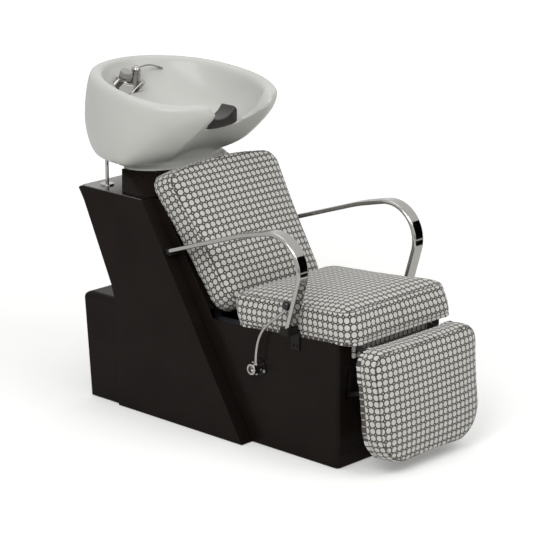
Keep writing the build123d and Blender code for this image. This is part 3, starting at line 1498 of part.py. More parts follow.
nodes = {
    "floor_frame": floor_frame(),
    "levelling_feet": levelling_feet(),
    "front_box_shell": finish_front_shell(),
    "back_shell": back_shell(),
    "column_shell": column_shell(),
    "ledge_plate": ledge_plate(),
    "neck_cowl": neck_cowl(),
    "rear_box_shell": rear_box_shell(),
    "rear_access_cover": rear_access_cover(),
    "cover_screws": cover_screws(),
    "front_valance": finish_valance(),
    "seat_frame": seat_frame(),
    "seat_board": seat_board(),
    "seat_cushion": seat_cushion(),
    "back_frame": back_frame(),
    "back_board": back_board(),
    "back_cushion": back_cushion(),
    "armrest_left": armrest(1),
    "armrest_right": armrest(-1),
    "arm_foot_brackets": arm_foot_brackets(),
    "arm_rear_brackets": arm_rear_brackets(),
    "arm_bolts": arm_bolts(),
    "leg_rest_hinge_rod": hinge_rod(),
    "leg_rest_board": leg_rest_board(),
    "leg_rest_cushion": leg_rest_cushion(),
    "leg_rest_brackets": leg_rest_brackets(),
    "leg_rest_pins": leg_rest_pins(),
    "push_links": push_links(),
    "crank_pins": crank_pins(),
    "crank_arms": crank_arms(),
    "shaft_bushes": shaft_bushes(),
    "lever_shaft": lever_shaft(),
    "lever_flange": lever_flange(),
    "flange_screws": flange_screws(),
    "lever_hub": lever_hub(),
    "lever_rod": lever_rod(),
    "lever_knob": lever_knob(),
    "basin": basin_body,
    "neck_rest": neck_rest(),
    "waste_strainer": waste_strainer(),
    "tilt_pins": tilt_pins(),
    "hinge_leaves": hinge_leaves(),
    "stay_tubes": stay_tubes(),
    "stay_rosettes": stay_rosettes(),
    "stay_rods": stay_rods(),
    "stay_clevises": stay_clevises(),
    "stay_pins": stay_pins(),
    "tap_plate": tap_plate(),
    "mixer_body": mixer_body(),
    "mixer_cap": mixer_cap(),
    "mixer_lever": mixer_lever(),
    "shower_holder": shower_holder(),
    "hand_shower": hand_shower(),
    "inlet_tails": inlet_tails(),
}

rear_reach = max(level[2] + level[4] for level in hull_levels)
middle_y = (rear_reach + front_reach) / 2
for name, shape in nodes.items():
    moved = Pos(0, -middle_y, 0) * Compound(children=list(shape.solids()))
    export_step(moved, f"parts/{name}.step")
print("middle_y", middle_y, "nodes", len(nodes))
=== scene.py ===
from math import cos, pi, radians, sin

import bmesh
import bpy
import numpy as np
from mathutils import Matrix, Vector


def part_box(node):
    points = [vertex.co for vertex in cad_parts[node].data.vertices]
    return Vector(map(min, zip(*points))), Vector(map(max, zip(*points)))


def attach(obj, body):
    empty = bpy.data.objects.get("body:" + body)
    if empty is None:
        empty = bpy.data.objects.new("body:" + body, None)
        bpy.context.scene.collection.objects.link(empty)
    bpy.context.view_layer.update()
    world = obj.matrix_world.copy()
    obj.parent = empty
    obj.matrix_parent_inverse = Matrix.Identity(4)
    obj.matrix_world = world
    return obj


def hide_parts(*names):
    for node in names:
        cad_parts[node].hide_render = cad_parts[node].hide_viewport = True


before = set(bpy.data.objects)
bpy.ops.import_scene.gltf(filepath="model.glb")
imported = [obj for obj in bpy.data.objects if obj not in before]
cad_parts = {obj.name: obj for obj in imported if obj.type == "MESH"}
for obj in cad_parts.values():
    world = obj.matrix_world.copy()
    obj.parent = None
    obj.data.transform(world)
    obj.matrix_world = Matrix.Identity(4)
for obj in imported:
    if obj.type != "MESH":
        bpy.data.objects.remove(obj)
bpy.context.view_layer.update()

scene = bpy.context.scene
scene.view_settings.view_transform = "Standard"

# The place to see it from: a long lens at the height of a standing person, looking down on
# the sitter's right and on the leg rest. Three soft lamps and a pale surround light it.
eye_place = (-5.27136, -5.01156, 2.55148)
eye_turn_deg = -46.6
eye_drop_deg = 16.1
eye_lens_mm = 163.125
eye_film_mm = 36.0
eye_sight_end = 60.0
eye = bpy.data.objects.new("viewpoint", bpy.data.cameras.new("viewpoint"))
eye.data.lens = eye_lens_mm
eye.data.sensor_width = eye_film_mm
eye.data.clip_end = eye_sight_end
eye.location = eye_place
eye.rotation_euler = (radians(90 - eye_drop_deg), 0, radians(eye_turn_deg))
scene.collection.objects.link(eye)
scene.camera = eye


def soft_lamp(name, place, aim, size, watts):
    """A square soft box at a place, turned to what it lights."""
    data = bpy.data.lights.new(name, "AREA")
    data.size = size
    data.energy = watts
    lamp = bpy.data.objects.new(name, data)
    lamp.location = place
    lamp.rotation_euler = (Vector(aim) - Vector(place)).to_track_quat("-Z", "Y").to_euler()
    scene.collection.objects.link(lamp)


soft_lamp("key_softbox", place=(-3.4, -1.6, 3.6), aim=(0, 0.1, 0.5), size=2.4, watts=95)
soft_lamp("front_softbox", place=(0.4, -3.4, 3.6), aim=(0, 0, 0.5), size=2.0, watts=42)
soft_lamp("top_softbox", place=(0.4, 0.8, 4.0), aim=(0, 0, 0.6), size=2.6, watts=24)


def linear(hex_colour):
    """The linear colour of an sRGB hex value."""
    shares = [int(hex_colour[i:i + 2], 16) / 255 for i in (1, 3, 5)]
    return [c / 12.92 if c <= 0.04045 else ((c + 0.055) / 1.055) ** 2.4 for c in shares] + [1.0]


def node(tree, kind, inputs=None, **settings):
    """Adds a node, with its settings, and with a value or a link for each input named."""
    made = tree.nodes.new(kind)
    for name, value in settings.items():
        setattr(made, name, value)
    for name, value in (inputs or {}).items():
        if isinstance(value, bpy.types.NodeSocket):
            tree.links.new(value, made.inputs[name])
        else:
            made.inputs[name].default_value = value
    return made


surround_light = 0.62
surround_seen = 1.0
surround = bpy.data.worlds.new("pale_studio")
surround.use_nodes = True
surround.node_tree.nodes.clear()
tree = surround.node_tree
path = node(tree, "ShaderNodeLightPath")
seen = node(tree, "ShaderNodeMath", {0: path.outputs["Is Camera Ray"],
                                     1: path.outputs["Is Glossy Ray"]}, operation="MAXIMUM")
seen = node(tree, "ShaderNodeMath", {0: seen.outputs[0],
                                     1: path.outputs["Is Transmission Ray"]}, operation="MAXIMUM")
level = node(tree, "ShaderNodeMapRange", {"Value": seen.outputs[0], "To Min": surround_light,
                                          "To Max": surround_seen})
glow = node(tree, "ShaderNodeBackground", {"Color": linear("#FFFFFF"),
                                           "Strength": level.outputs[0]})
node(tree, "ShaderNodeOutputWorld", {"Surface": glow.outputs[0]})
scene.world = surround

# The floor is a pale painted surface, much wider than the view. Away from the chair the camera
# sees it brighten to the white of the surround.
floor_half = 24.0
floor_glow_near = 0.16
floor_glow_far = 0.5
floor_near_reach = 1.2
floor_far_reach = 5.0
floor_mesh = bpy.data.meshes.new("pale_floor")
floor_mesh.from_pydata([(-floor_half, -floor_half, 0), (floor_half, -floor_half, 0),
                        (floor_half, floor_half, 0), (-floor_half, floor_half, 0)],
                       [], [(0, 1, 2, 3)])
floor = bpy.data.objects.new("pale_floor", floor_mesh)
scene.collection.objects.link(floor)


def material(name):
    """An empty material and its node tree."""
    made = bpy.data.materials.new(name)
    made.use_nodes = True
    made.node_tree.nodes.clear()
    return made, made.node_tree


floor_paint, tree = material("pale_floor_paint")
path = node(tree, "ShaderNodeLightPath")
spot = node(tree, "ShaderNodeTexCoord").outputs["Object"]
far = node(tree, "ShaderNodeVectorMath", {0: spot}, operation="LENGTH").outputs["Value"]
bright = node(tree, "ShaderNodeMapRange", {
    "Value": far, "From Min": floor_near_reach, "From Max": floor_far_reach,
    "To Min": floor_glow_near, "To Max": floor_glow_far})
lift = node(tree, "ShaderNodeMath", {0: path.outputs["Is Camera Ray"], 1: bright.outputs[0]},
            operation="MULTIPLY")
paint = node(tree, "ShaderNodeBsdfPrincipled", {
    "Base Color": linear("#F4F4F2"), "Roughness": 0.9, "Specular IOR Level": 0.1,
    "Emission Color": linear("#FFFFFF"), "Emission Strength": lift.outputs[0]})
node(tree, "ShaderNodeOutputMaterial", {"Surface": paint.outputs[0]})
floor_mesh.materials.append(floor_paint)

# Three matt black boards stand or lie round the chair, as in a studio. Only mirror rays see
# them, so they darken the bright metal's streaks and cast no shadow.
board_paint, tree = material("black_board")
matt = node(tree, "ShaderNodeBsdfDiffuse", {"Color": linear("#0C0B0A")})
node(tree, "ShaderNodeOutputMaterial", {"Surface": matt.outputs[0]})
for name, place, tip_deg, turn_deg, wide, high in (
        ("black_board", (2.6, -2.6, 1.1), 0.0, 45.0, 2.2, 2.4),
        ("black_card", (-1.6, -3.4, 0.5), 0.0, -20.0, 1.0, 0.7),
        ("black_cloth", (1.5, -1.7, 0.02), 90.0, 45.0, 2.2, 1.2)):
    board_mesh = bpy.data.meshes.new(name)
    board_mesh.from_pydata([(-wide / 2, 0, -high / 2), (wide / 2, 0, -high / 2),
                            (wide / 2, 0, high / 2), (-wide / 2, 0, high / 2)],
                           [], [(0, 1, 2, 3)])
    board_mesh.materials.append(board_paint)
    board = bpy.data.objects.new(name, board_mesh)
    board.location = place
    board.rotation_euler = (radians(tip_deg), 0, radians(turn_deg))
    board.visible_camera = board.visible_diffuse = False
    board.visible_shadow = board.visible_transmission = False
    scene.collection.objects.link(board)

# The frames are welded from square steel tube under the casings: a floor frame on levelling
# feet, legs and rails under the seat, and two posts that carry the basin. Baked powder paint
# has a fine even orange peel and lies in slightly uneven greys.
paint_peel_mm = 1.6
paint_patch_mm = 60.0
paint_relief_mm = 0.06


def finish_node(name, made):
    """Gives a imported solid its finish."""
    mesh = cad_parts[name].data
    mesh.materials.clear()
    mesh.materials.append(made)


def place_of(tree):
    """The point of the piece that is being coloured, in metres."""
    return node(tree, "ShaderNodeTexCoord").outputs["Object"]


def speckle(tree, spacing_mm, detail=3.0, rough=0.5):
    """Noise whose grains are a real size apart."""
    return node(tree, "ShaderNodeTexNoise", {"Vector": place_of(tree), "Scale": 1000 / spacing_mm,
                                             "Detail": detail, "Roughness": rough})


def spread(tree, value, low, high, from_low=0.3, from_high=0.7):
    """Turns a noise into a range of values."""
    return node(tree, "ShaderNodeMapRange", {
        "Value": value, "From Min": from_low, "From Max": from_high,
        "To Min": low, "To Max": high}).outputs[0]


def blend_colour(tree, share, first, second):
    """A colour between two, which may be hex values or sockets."""
    first, second = [linear(c) if isinstance(c, str) else c for c in (first, second)]
    return node(tree, "ShaderNodeMix", {0: share, 6: first, 7: second},
                data_type="RGBA").outputs[2]


def relief(tree, height, depth_mm, under=None):
    """A fine relief of a real depth."""
    inputs = {"Height": height, "Distance": depth_mm / 1000, "Strength": 1.0}
    if under is not None:
        inputs["Normal"] = under
    return node(tree, "ShaderNodeBump", inputs).outputs[0]


def surface(tree, **inputs):
    """The one shader of a finish."""
    named = {name.replace("_", " "): value for name, value in inputs.items()}
    shader = node(tree, "ShaderNodeBsdfPrincipled", named)
    node(tree, "ShaderNodeOutputMaterial", {"Surface": shader.outputs[0]})


grey_paint, tree = material("powder_painted_steel")
peel = speckle(tree, paint_peel_mm)
shade = speckle(tree, paint_patch_mm)
surface(tree, Base_Color=blend_colour(tree, spread(tree, shade.outputs[0], 0, 1),
                                      "#3C3D3F", "#4A4B4D"),
        Roughness=spread(tree, peel.outputs[0], 0.38, 0.5), IOR=1.5, Metallic=0.0,
        Normal=relief(tree, peel.outputs[0], paint_relief_mm))
for name in ("floor_frame", "seat_frame", "back_frame"):
    finish_node(name, grey_paint)

# Levelling feet of moulded polyamide screw into the runners and stand the base level on the
# floor. The plastic is black and dull, with a fine spark-eroded grain from its mould.
foot_grain_mm = 0.8
foot_relief_mm = 0.05
foot_plastic, tree = material("moulded_polyamide")
grain = speckle(tree, foot_grain_mm)
surface(tree, Base_Color=linear("#1C1C1D"), Roughness=spread(tree, grain.outputs[0], 0.5, 0.65),
        IOR=1.53, Normal=relief(tree, grain.outputs[0], foot_relief_mm))
finish_node("levelling_feet", foot_plastic)

# The casings are black gloss laminate, laid up in polished moulds and trimmed square: a front
# box, side cheeks under the back, a wide column, a cowl below the basin and a low rear box.
# The gel coat is almost black, a little warm, and mirrors with a faint long ripple.
gel_ripple_mm = 45.0
gel_dust_mm = 9.0
gel_haze_mm = 150.0
gel_edge_radius = 0.0012
gel_relief_mm = 0.12
shell_gloss, tree = material("black_gel_coat")
ripple = speckle(tree, gel_ripple_mm, 1.0)
dust = speckle(tree, gel_dust_mm, 4.0, 0.6)
haze = speckle(tree, gel_haze_mm, 3.0)
rough = node(tree, "ShaderNodeMath", {0: spread(tree, dust.outputs[0], 0.0, 0.05),
                                      1: spread(tree, haze.outputs[0], 0.2, 0.3)},
             operation="ADD")
edge = node(tree, "ShaderNodeBevel", {"Radius": gel_edge_radius}, samples=4)
surface(tree, Base_Color=blend_colour(tree, spread(tree, haze.outputs[0], 0, 1),
                                      "#171210", "#1B1614"),
        Roughness=rough.outputs[0], IOR=1.45, Specular_IOR_Level=0.06,
        Normal=relief(tree, ripple.outputs[0], gel_relief_mm, edge.outputs[0]))
for name in ("front_box_shell", "back_shell", "column_shell", "neck_cowl", "rear_box_shell"):
    finish_node(name, shell_gloss)

# A flat steel cover closes the service opening behind. It has the same satin black stove
# enamel as the brackets and bolts of the arms, the lever's flange, and the leg rest's
# brackets, links, rod and pins.
enamel_peel_mm = 1.2
enamel_relief_mm = 0.05
black_enamel, tree = material("black_stove_enamel")
peel = speckle(tree, enamel_peel_mm)
surface(tree, Base_Color=linear("#151210"), Roughness=spread(tree, peel.outputs[0], 0.34, 0.46),
        IOR=1.5, Specular_IOR_Level=0.15,
        Normal=relief(tree, peel.outputs[0], enamel_relief_mm))
for name in ("rear_access_cover", "arm_foot_brackets", "arm_rear_brackets", "leg_rest_brackets",
             "arm_bolts", "lever_flange", "push_links", "leg_rest_hinge_rod", "leg_rest_pins"):
    finish_node(name, black_enamel)

# Screws, cranks, the lever's shaft, the basin's hinge and the stays' clevises are zinc plated
# steel: cool grey and satin, with the faint cloudy spangle of a passivated coat.
spangle_mm = 7.0
zinc, tree = material("zinc_plated_steel")
cloud = speckle(tree, spangle_mm, 4.0)
surface(tree, Base_Color=blend_colour(tree, spread(tree, cloud.outputs[0], 0, 1),
                                      "#8F9190", "#B3B5B2"),
        Metallic=1.0, Roughness=spread(tree, cloud.outputs[0], 0.28, 0.42))
for name in ("cover_screws", "crank_pins", "crank_arms", "lever_shaft", "flange_screws",
             "tilt_pins", "hinge_leaves", "stay_clevises", "stay_pins", "inlet_tails"):
    finish_node(name, zinc)

# The ledge round the cowl is a polished aluminium plate, brushed lengthwise before it was
# buffed, so its highlights are drawn out from side to side.
brush_scale = (30.0, 1400.0, 300.0)
brush_relief_mm = 0.01
ledge_metal, tree = material("polished_aluminium")
stretched = node(tree, "ShaderNodeMapping", {"Vector": place_of(tree), "Scale": brush_scale})
brush = node(tree, "ShaderNodeTexNoise", {"Vector": stretched.outputs[0], "Scale": 1.0,
                                          "Detail": 2.0})
surface(tree, Base_Color=blend_colour(tree, brush.outputs[0], "#5C5A57", "#787571"),
        Metallic=1.0, Roughness=spread(tree, brush.outputs[0], 0.16, 0.3),
        Normal=relief(tree, brush.outputs[0], brush_relief_mm))
finish_node("ledge_plate", ledge_metal)

# The pads of the seat, the back and the leg rest stand on birch plywood: a pale face with
# long grain, and layered edges where it was sawn.
birch_scale = (260.0, 14.0, 60.0)
birch_relief_mm = 0.1
birch, tree = material("birch_plywood")
turned = node(tree, "ShaderNodeMapping", {"Vector": place_of(tree), "Scale": birch_scale})
grain = node(tree, "ShaderNodeTexNoise", {"Vector": turned.outputs[0], "Scale": 1.0,
                                          "Detail": 4.0})
surface(tree, Base_Color=blend_colour(tree, spread(tree, grain.outputs[0], 0, 1),
                                      "#A98358", "#C9A678"),
        Roughness=spread(tree, grain.outputs[0], 0.55, 0.75), IOR=1.5,
        Normal=relief(tree, grain.outputs[0], birch_relief_mm))
for name in ("seat_board", "back_board", "leg_rest_board"):
    finish_node(name, birch)

# The cloth is a woven jacquard in two greys: pale octagons in straight rows, with a small pale
# dot in each gap of the dark ground. Every pad carries its own place on the cloth, in metres,
# so the rows run round its sides as they would on a sewn cover.
cell_pitch_mm = 20.5
cell_half_share = 0.395
dot_radius_share = 0.105
dot_paleness = 0.7
print_edge_share = 0.022
slub_mm = 5.0
# The threads are drawn coarser than real ones, so that the weave shows at this distance.
thread_mm = 1.5
# Painted shade: the yarn is drawn darker where the weave's relief is low, in the hollows between
# threads.
weave_hollow_shade = 0.16
pale_yarn_height = 0.8
cloth_relief_mm = 0.18
# Painted shade along the seams: the cloth is drawn darker within a seam's width, as if shaded in
# the sewn groove.
seam_shade_mm = 1.9
seam_shade_core_share = 0.4
seam_painted_shade = 0.75
cloth, tree = material("octagon_jacquard")
spot = node(tree, "ShaderNodeAttribute", attribute_name="cloth_place").outputs["Vector"]
flat_spot = node(tree, "ShaderNodeSeparateXYZ", {0: spot})


def sum_of(tree, operation, *values):
    """One step of arithmetic in a finish."""
    return node(tree, "ShaderNodeMath", dict(enumerate(values)), operation=operation).outputs[0]


def from_cell_middle(tree, value, pitch_mm):
    """How far a place is from the middle of its cell, as a share of the pitch."""
    cell = sum_of(tree, "FRACT", sum_of(tree, "MULTIPLY", value, 1000 / pitch_mm))
    return sum_of(tree, "ABSOLUTE", sum_of(tree, "SUBTRACT", cell, 0.5))


def printed(tree, far, edge_share):
    """Pale within an edge and dark outside it, with a soft step between."""
    return spread(tree, far, 1.0, 0.0, edge_share - print_edge_share,
                  edge_share + print_edge_share)


across = from_cell_middle(tree, flat_spot.outputs[0], cell_pitch_mm)
along = from_cell_middle(tree, flat_spot.outputs[1], cell_pitch_mm)
slanted = sum_of(tree, "MULTIPLY", sum_of(tree, "ADD", across, along), 0.5 ** 0.5)
octagon = sum_of(tree, "MAXIMUM", sum_of(tree, "MAXIMUM", across, along), slanted)
in_cell = printed(tree, octagon, cell_half_share)
gap_across = sum_of(tree, "SUBTRACT", 0.5, across)
gap_along = sum_of(tree, "SUBTRACT", 0.5, along)
gap = sum_of(tree, "SQRT", sum_of(tree, "ADD", sum_of(tree, "MULTIPLY", gap_across, gap_across),
                                  sum_of(tree, "MULTIPLY", gap_along, gap_along)))
in_dot = printed(tree, gap, dot_radius_share)
pale = sum_of(tree, "MAXIMUM", in_cell, sum_of(tree, "MULTIPLY", in_dot, dot_paleness))
weft = sum_of(tree, "SINE", sum_of(tree, "MULTIPLY", flat_spot.outputs[0], 2000 * pi / thread_mm))
warp = sum_of(tree, "SINE", sum_of(tree, "MULTIPLY", flat_spot.outputs[1], 2000 * pi / thread_mm))
weave = spread(tree, sum_of(tree, "MULTIPLY", weft, warp), 0.0, 1.0, -1.0, 1.0)
slub = speckle(tree, slub_mm, 3.0)
pale_yarn = blend_colour(tree, spread(tree, slub.outputs[0], 0, 1), "#B9B8B2", "#CBCAC5")
dark_yarn = blend_colour(tree, spread(tree, slub.outputs[0], 0, 1), "#3B3632", "#4B4541")
yarn = blend_colour(tree, pale, dark_yarn, pale_yarn)
# Painted shade in the weave's hollows: the yarn darkens where the relief is low.
shaded = blend_colour(tree, spread(tree, weave, weave_hollow_shade, 0.0, 0.0, 1.0), yarn, "#3A3633")
height = sum_of(tree, "ADD", weave, sum_of(tree, "MULTIPLY", pale, pale_yarn_height))
# Painted shade in the sewn groove: the cloth darkens near each seam.
from_seam = sum_of(tree, "MULTIPLY", flat_spot.outputs[2], 1000)
in_seam_shade = spread(tree, from_seam, 1.0, 0.0, seam_shade_mm * seam_shade_core_share, seam_shade_mm)
shaded = blend_colour(tree, sum_of(tree, "MULTIPLY", in_seam_shade, seam_painted_shade), shaded, "#2B2724")
surface(tree, Base_Color=shaded, Roughness=0.82, IOR=1.45, Specular_IOR_Level=0.25,
        Sheen_Weight=0.25, Sheen_Roughness=0.5, Normal=relief(tree, height, cloth_relief_mm))

# The seat pad is moulded foam in a sewn cover, flat below, crowned above, and set out past
# the front of the box. A face panel is sewn to a strip that runs round the sides.
pad_mesh_size = 0.005
pad_relax_times = 4
relax_strength = 0.5
weld_reach = 0.00002
flat_back = 0.001
held_back_share = 0.06
held_seam_cells = 0.7
face_seam_share = 0.80
back_seam_share = 0.07
seam_depth = 0.0016
seam_width = 0.0035
stuffing_pressure = 4.0
stuffing_quality = 5
stuffing_frames = 20
stuffing_room = 0.003
tape_steps = 360
tape_least_reach = 0.001


def copy_of(name, new_name, made):
    """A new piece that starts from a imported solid's mesh."""
    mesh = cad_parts[name].data.copy()
    mesh.materials.clear()
    mesh.materials.append(made)
    packed_normals = mesh.attributes.get("custom_normal")
    if packed_normals is not None:
        mesh.attributes.remove(packed_normals)
    piece = bpy.data.objects.new(new_name, mesh)
    scene.collection.objects.link(piece)
    shape = bmesh.new()
    shape.from_mesh(mesh)
    bmesh.ops.remove_doubles(shape, verts=shape.verts, dist=weld_reach)
    shape.to_mesh(mesh)
    shape.free()
    return piece


def point_values(points, name):
    """One vector for each point of a mesh, as an array."""
    flat = np.empty(len(points) * 3, np.float32)
    points.foreach_get(name, flat)
    return flat.reshape(-1, 3).astype(float)


def corners_of(piece):
    """The piece's points."""
    return point_values(piece.data.vertices, "co")


def normals_of(piece):
    """The direction out of the piece at each of its points."""
    return point_values(piece.data.vertices, "normal")


def set_corners(piece, points):
    """Puts the piece's points at new places."""
    piece.data.vertices.foreach_set("co", np.asarray(points, np.float32).ravel())
    piece.data.update()


def swell(piece, far):
    """Moves each point out of the piece by its own distance, or in by a negative one."""
    set_corners(piece, corners_of(piece) + normals_of(piece) * far[:, None])


def point_group(piece, name, points, weight):
    """Adds some of the piece's points to a group."""
    group = piece.vertex_groups.get(name) or piece.vertex_groups.new(name=name)
    group.add([int(i) for i in np.nonzero(points)[0]], weight, "REPLACE")


def apply_modifiers(piece):
    """Writes the result of the modifiers into the mesh."""
    bpy.context.view_layer.update()
    graph = bpy.context.evaluated_depsgraph_get()
    made = bpy.data.meshes.new_from_object(piece.evaluated_get(graph))
    piece.modifiers.clear()
    old = piece.data
    piece.data = made
    bpy.data.meshes.remove(old)


def even_mesh(piece, size):
    """Rebuilds the skin in squares of one size."""
    step = piece.modifiers.new("even_mesh", "REMESH")
    step.mode = "VOXEL"
    step.voxel_size = size
    apply_modifiers(piece)


def relax(piece, times, share=None):
    """Smooths the skin and its edges, all over or by each point's share."""
    step = piece.modifiers.new("relax", "SMOOTH")
    step.factor = relax_strength
    step.iterations = times
    if share is not None:
        for level in np.unique(share):
            point_group(piece, "relaxed", share == level, float(level))
        step.vertex_group = "relaxed"
    apply_modifiers(piece)


def finer(piece):
    """Divides every square of the skin in four, smoothly."""
    step = piece.modifiers.new("finer", "SUBSURF")
    step.levels = step.render_levels = 1
    apply_modifiers(piece)


class Plan:
    """A pad's own plane: where it starts, and its directions across, along and outward."""

    def __init__(self, origin, across, along, out):
        self.origin = np.array(origin, float)
        self.turn = np.array([across, along, out], float)

    def local(self, points):
        return (np.asarray(points, float) - self.origin) @ self.turn.T

    def world(self, points):
        return np.asarray(points, float) @ self.turn + self.origin


def stuff(piece, held, reach):
    """Fills the cover: it swells under pressure between the held points, up to a reach."""
    swell(piece, -stuffing_room * ~held)
    point_group(piece, "held", held, 1.0)
    filling = piece.modifiers.new("stuffing", "CLOTH")
    filling.settings.quality = stuffing_quality
    filling.settings.use_pressure = True
    filling.settings.uniform_pressure_force = stuffing_pressure
    filling.settings.vertex_group_mass = "held"
    filling.settings.effector_weights.gravity = 0
    filling.point_cache.frame_start = 1
    filling.point_cache.frame_end = stuffing_frames
    before = corners_of(piece)
    for moment in range(1, stuffing_frames + 1):
        scene.frame_set(moment)
    swollen = piece.evaluated_get(bpy.context.evaluated_depsgraph_get())
    move = point_values(swollen.data.vertices, "co") - before
    piece.modifiers.clear()
    scene.frame_set(1)
    far = np.linalg.norm(move, axis=1, keepdims=True)
    set_corners(piece, before + move * np.minimum(1, reach / np.maximum(far, 1e-9)))


def cut_at(piece, plan, height):
    """Cuts an edge loop into the skin at a height over the pad's plane."""
    shape = bmesh.new()
    shape.from_mesh(piece.data)
    out = Vector(plan.turn[2])
    bmesh.ops.bisect_plane(shape, geom=shape.verts[:] + shape.edges[:] + shape.faces[:],
                           dist=1e-5, plane_co=Vector(plan.origin) + out * height, plane_no=out)
    shape.to_mesh(piece.data)
    shape.free()


def sew(piece, plan, height):
    """Draws the cover in along a seam."""
    off = plan.local(corners_of(piece))[:, 2] - height
    swell(piece, -np.exp(-(off / seam_width) ** 2) * seam_depth)


class TapeRound:
    """Length of tape round a pad, by the direction from its middle."""

    def __init__(self, points, middle):
        turn = np.arctan2(points[:, 0] - middle[0], points[:, 1] - middle[1])
        far = np.hypot(points[:, 0] - middle[0], points[:, 1] - middle[1])
        self.edges = np.linspace(-pi, pi, tape_steps + 1)
        step = np.clip(np.digitize(turn, self.edges) - 1, 0, tape_steps - 1)
        reach = np.zeros(tape_steps)
        np.maximum.at(reach, step, far)
        reach = np.maximum(reach, tape_least_reach)
        centres = (self.edges[:-1] + self.edges[1:]) / 2
        ends = np.interp(self.edges, centres, reach, period=2 * pi)
        x, y = ends * np.sin(self.edges), ends * np.cos(self.edges)
        self.length = np.r_[0, np.cumsum(np.hypot(np.diff(x), np.diff(y)))]
        self.total = self.length[-1]

    def at(self, turn):
        return np.interp(turn, self.edges, self.length)


def lay_cloth(piece, plan, seam_heights, round_middle):
    """Gives each corner of each face its place on the cloth: flat on the face and the back of
    the pad, and round the pad on its sides, whose strip is sewn on at the seams."""
    mesh = piece.data
    points = plan.local(corners_of(piece))
    turn = np.arctan2(points[:, 0] - round_middle[0], points[:, 1] - round_middle[1])
    order = np.empty(len(mesh.loops), np.int64)
    mesh.loops.foreach_get("vertex_index", order)
    count = np.empty(len(mesh.polygons), np.int64)
    mesh.polygons.foreach_get("loop_total", count)
    of_face = np.repeat(np.arange(len(count)), count)
    middle = np.zeros((len(count), 3))
    np.add.at(middle, of_face, points[order])
    middle /= count[:, None]
    low, high = seam_heights
    side = (middle[:, 2] > low) & (middle[:, 2] < high)
    tape = TapeRound(points, round_middle)
    places = points[order].copy()
    on_side = side[of_face]
    places[on_side, 0] = tape.at(turn[order][on_side])
    places[on_side, 1] = points[order][on_side, 2]
    face_turn = np.arctan2(middle[:, 0] - round_middle[0], middle[:, 1] - round_middle[1])
    wrap = on_side & (np.abs(turn[order] - face_turn[of_face]) > pi)
    places[wrap, 0] += tape.total * np.sign(face_turn[of_face][wrap])
    # The third value is the distance to the nearer seam, which the cloth uses to paint shade
    # along the seams.
    places[:, 2] = np.min(np.abs(points[order][:, 2:3] - np.array(seam_heights)), axis=1)
    made = mesh.attributes.new("cloth_place", "FLOAT_VECTOR", "CORNER")
    made.data.foreach_set("vector", places.astype(np.float32).ravel())


def padded_cover(name, node_name, body, plan, thickness, middle, reach, wrap=0.0):
    """A pad in its sewn cover: a face, a strip round the sides and a flat back. The cover may
    also wrap the board behind the foam."""
    piece = copy_of(node_name, name, cloth)
    points = plan.local(corners_of(piece))
    points[points[:, 2] < flat_back, 2] -= wrap
    set_corners(piece, plan.world(points))
    even_mesh(piece, pad_mesh_size)
    relax(piece, pad_relax_times)
    seams = (thickness * back_seam_share, thickness * face_seam_share)
    height = plan.local(corners_of(piece))[:, 2]
    at_back = height < thickness * held_back_share - wrap
    at_seam = np.abs(height - seams[1]) < pad_mesh_size * held_seam_cells
    stuff(piece, at_back | at_seam, reach)
    finer(piece)
    for seam in seams:
        cut_at(piece, plan, seam)
        sew(piece, plan, seam)
    lay_cloth(piece, plan, seams, middle)
    piece.data.shade_smooth()
    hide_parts(node_name)
    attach(piece, body)


front_wall_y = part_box("front_box_shell")[0].y
seat_pitch = radians(4.1)
seat_line_height = 0.383
seat_thickness = 0.116
seat_plan = Plan((0, front_wall_y, seat_line_height), across=(1, 0, 0),
                 along=(0, cos(seat_pitch), -sin(seat_pitch)),
                 out=(0, sin(seat_pitch), cos(seat_pitch)))
padded_cover("seat_pad", "seat_cushion", "base", seat_plan, seat_thickness,
             middle=(0.0, 0.182), reach=0.008, wrap=0.004)

# The back pad is made as the seat pad is, with large round corners, and leans back with the
# column. Its board is screwed to the frame from behind.
back_lean = radians(34.0)
back_start = (0.0, front_wall_y + 0.648, 0.564)
back_thickness = 0.090
back_plan = Plan(back_start, across=(1, 0, 0), along=(0, sin(back_lean), cos(back_lean)),
                 out=(0, -cos(back_lean), sin(back_lean)))
padded_cover("back_pad", "back_cushion", "base", back_plan, back_thickness,
             middle=(0.0, -0.02), reach=0.008)

# The leg pad hangs from the seat's front and swings up; its lower corners are cut very round.
# Its cover wraps the board behind the foam and is stapled there.
leg_pitch = radians(6.0)
leg_top = (0.0, front_wall_y - 0.062, 0.378)
leg_board_thickness = 0.012
leg_cover_thickness = 0.0009
leg_thickness = 0.072
leg_out = (0, -cos(leg_pitch), sin(leg_pitch))
leg_plan = Plan(Vector(leg_top) + Vector(leg_out) * leg_board_thickness, across=(-1, 0, 0),
                along=(0, -sin(leg_pitch), -cos(leg_pitch)), out=leg_out)
padded_cover("leg_pad", "leg_rest_cushion", "leg_rest", leg_plan, leg_thickness,
             middle=(0.0, 0.177), reach=0.007,
             wrap=leg_board_thickness + leg_cover_thickness)

# The valance is a thin padded board in the same cloth, between the seat and the leg rest. The
# cloth is drawn tight over it, so it only rounds at the edges.
valance_mesh_size = 0.003
valance_relax_times = 3
valance = copy_of("front_valance", "cloth_valance", cloth)
even_mesh(valance, valance_mesh_size)
relax(valance, valance_relax_times)
front = corners_of(valance)
# The valance has no seams, so it gets no painted seam shade.
far_from_seams = np.ones(len(front))
front_places = np.c_[front[:, 0], front[:, 2], far_from_seams].astype(np.float32)
valance_place = valance.data.attributes.new("cloth_place", "FLOAT_VECTOR", "POINT")
valance_place.data.foreach_set("vector", front_places.ravel())
valance.data.shade_smooth()
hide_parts("front_valance")
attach(valance, "base")

